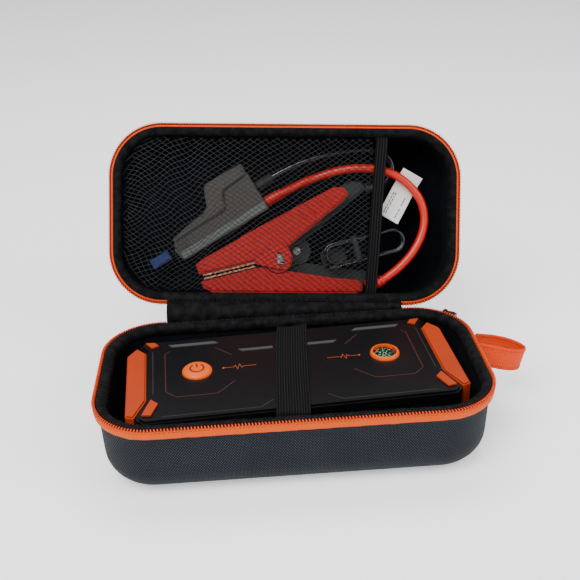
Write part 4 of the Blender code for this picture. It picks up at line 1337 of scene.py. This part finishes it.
CORNERS = [f"{end}_{place}" for end in ("left", "right") for place in ("front", "back")]
BARS = [f"{end}_{place}" for end in ("left", "right") for place in ("outer", "inner")]
JAWS = [f"{lead}_{place}_jaw" for lead in ("red", "black") for place in ("lower", "upper")]
PAINT = (
    (UNIT_BLACK, ["unit_bottom_case", "unit_top_cover"]),
    (TRIM, ["trim_bar_" + bar for bar in BARS]),
    (ORANGE, ["corner_accent_" + corner for corner in CORNERS] + ["left_end_cap", "right_end_cap"]),
    (SOCKET, ["jump_socket", "jump_plug"]),
    (SWITCH, ["usb_port", "button_switch"]),
    (KEY_ORANGE, ["compass_bezel", "power_button"]),
    (LENS, ["compass_lens"]),
    (CARD, ["compass_card"]),
    (FOIL, ["battery_pack"]),
    (BOARD, ["main_board"]),
    (STEEL, ["case_screw_1", "case_screw_2"]),
    (MODULE_TAUPE_SHADED, ["module_lower_shell"]),
    (MODULE_GREY, ["module_upper_shell"]),
    (CLAMP_RED, ["red_clamp_lower", "red_clamp_upper"]),
    (CLAMP_BLACK, ["black_clamp_lower", "black_clamp_upper"]),
    (COPPER, JAWS),
    (SPRING, ["red_clamp_rivet", "black_clamp_rivet", "red_clamp_spring", "black_clamp_spring"]),
    (RUBBER, ["charge_plug", "socket_cover"]),
    (SLIDER, ["zip_slider", "zip_pull"]),
)

make_net()
make_pocket_band()
make_clamp_cable("red_lead", RED_ROUTE, CABLE_RED, "red_cable")
make_clamp_cable("black_lead", BLACK_ROUTE, CABLE_BLACK, "black_cable")
make_charge_lead()
make_label()
make_clamp_cheek()
make_clamp_ribs()
make_module_marks()
make_unit_marks()
make_cover_steps()
make_compass_marks()
for node_look, painted_nodes in PAINT:
    for painted_node in painted_nodes:
        paint(painted_node, node_look)


# Stage, light and camera

FLOOR_GLOW = 0.55
ROOM_LIGHT = 0.42
AIM = (0.0, 0.02, 0.05)


def make_stage():
    bpy.ops.mesh.primitive_plane_add(size=6.0, location=(0.0, 0.0, -0.0005))
    floor = bpy.context.object
    floor.name = "studio_floor"
    look = Look("studio_paper", (0.93, 0.93, 0.93), 0.9)
    look.tint(look.noise(3.0), (0.925, 0.925, 0.925), (0.935, 0.935, 0.935))
    look.shader.inputs["Emission Color"].default_value = (1.0, 1.0, 1.0, 1.0)
    look.shader.inputs["Emission Strength"].default_value = FLOOR_GLOW
    floor.data.materials.append(look.material)
    world = bpy.data.worlds.new("studio")
    bpy.context.scene.world = world
    world.use_nodes = True
    background = world.node_tree.nodes["Background"]
    background.inputs["Color"].default_value = (1.0, 1.0, 1.0, 1.0)
    background.inputs["Strength"].default_value = ROOM_LIGHT


def soft_light(name, at, towards, size, power, colour=(1.0, 1.0, 1.0)):
    """A rectangular light; power is in watts."""
    light = bpy.data.lights.new(name, "AREA")
    light.shape = "RECTANGLE"
    light.size = size[0]
    light.size_y = size[1]
    light.energy = power
    light.color = colour
    lamp = add_object(name, light)
    lamp.location = at
    lamp.rotation_euler = (Vector(towards) - Vector(at)).to_track_quat("-Z", "Y").to_euler()


def make_camera():
    """The viewpoint, turned by yaw and pitch and then leaned by roll, all in radians."""
    camera = bpy.data.cameras.new("view")
    camera.lens = 55.59
    camera.sensor_width = 36.0
    camera.clip_start = 0.01
    yaw, pitch, roll = -0.0598876, 0.4831155, -0.0304216
    back = Vector((math.sin(yaw) * math.cos(pitch), -math.cos(yaw) * math.cos(pitch), math.sin(pitch)))
    right = (-back).cross(Vector((0, 0, 1))).normalized()
    up = right.cross(-back)
    leaned_right = right * math.cos(roll) + up * math.sin(roll)
    leaned_up = up * math.cos(roll) - right * math.sin(roll)
    turn = Matrix((leaned_right, leaned_up, back)).transposed().to_4x4()
    eye = add_object("view", camera)
    eye.matrix_world = Matrix.Translation((-0.0259, -0.4357, 0.3236)) @ turn
    bpy.context.scene.camera = eye


make_stage()
soft_light("key", (-0.5, -0.7, 1.2), AIM, (0.9, 0.9), 26)
soft_light("fill", (0.9, -0.5, 0.7), AIM, (0.8, 0.8), 9, (0.93, 0.96, 1.0))
soft_light("top", (0.0, 0.5, 1.3), (0.0, 0.05, 0.05), (1.2, 0.6), 10)
make_camera()
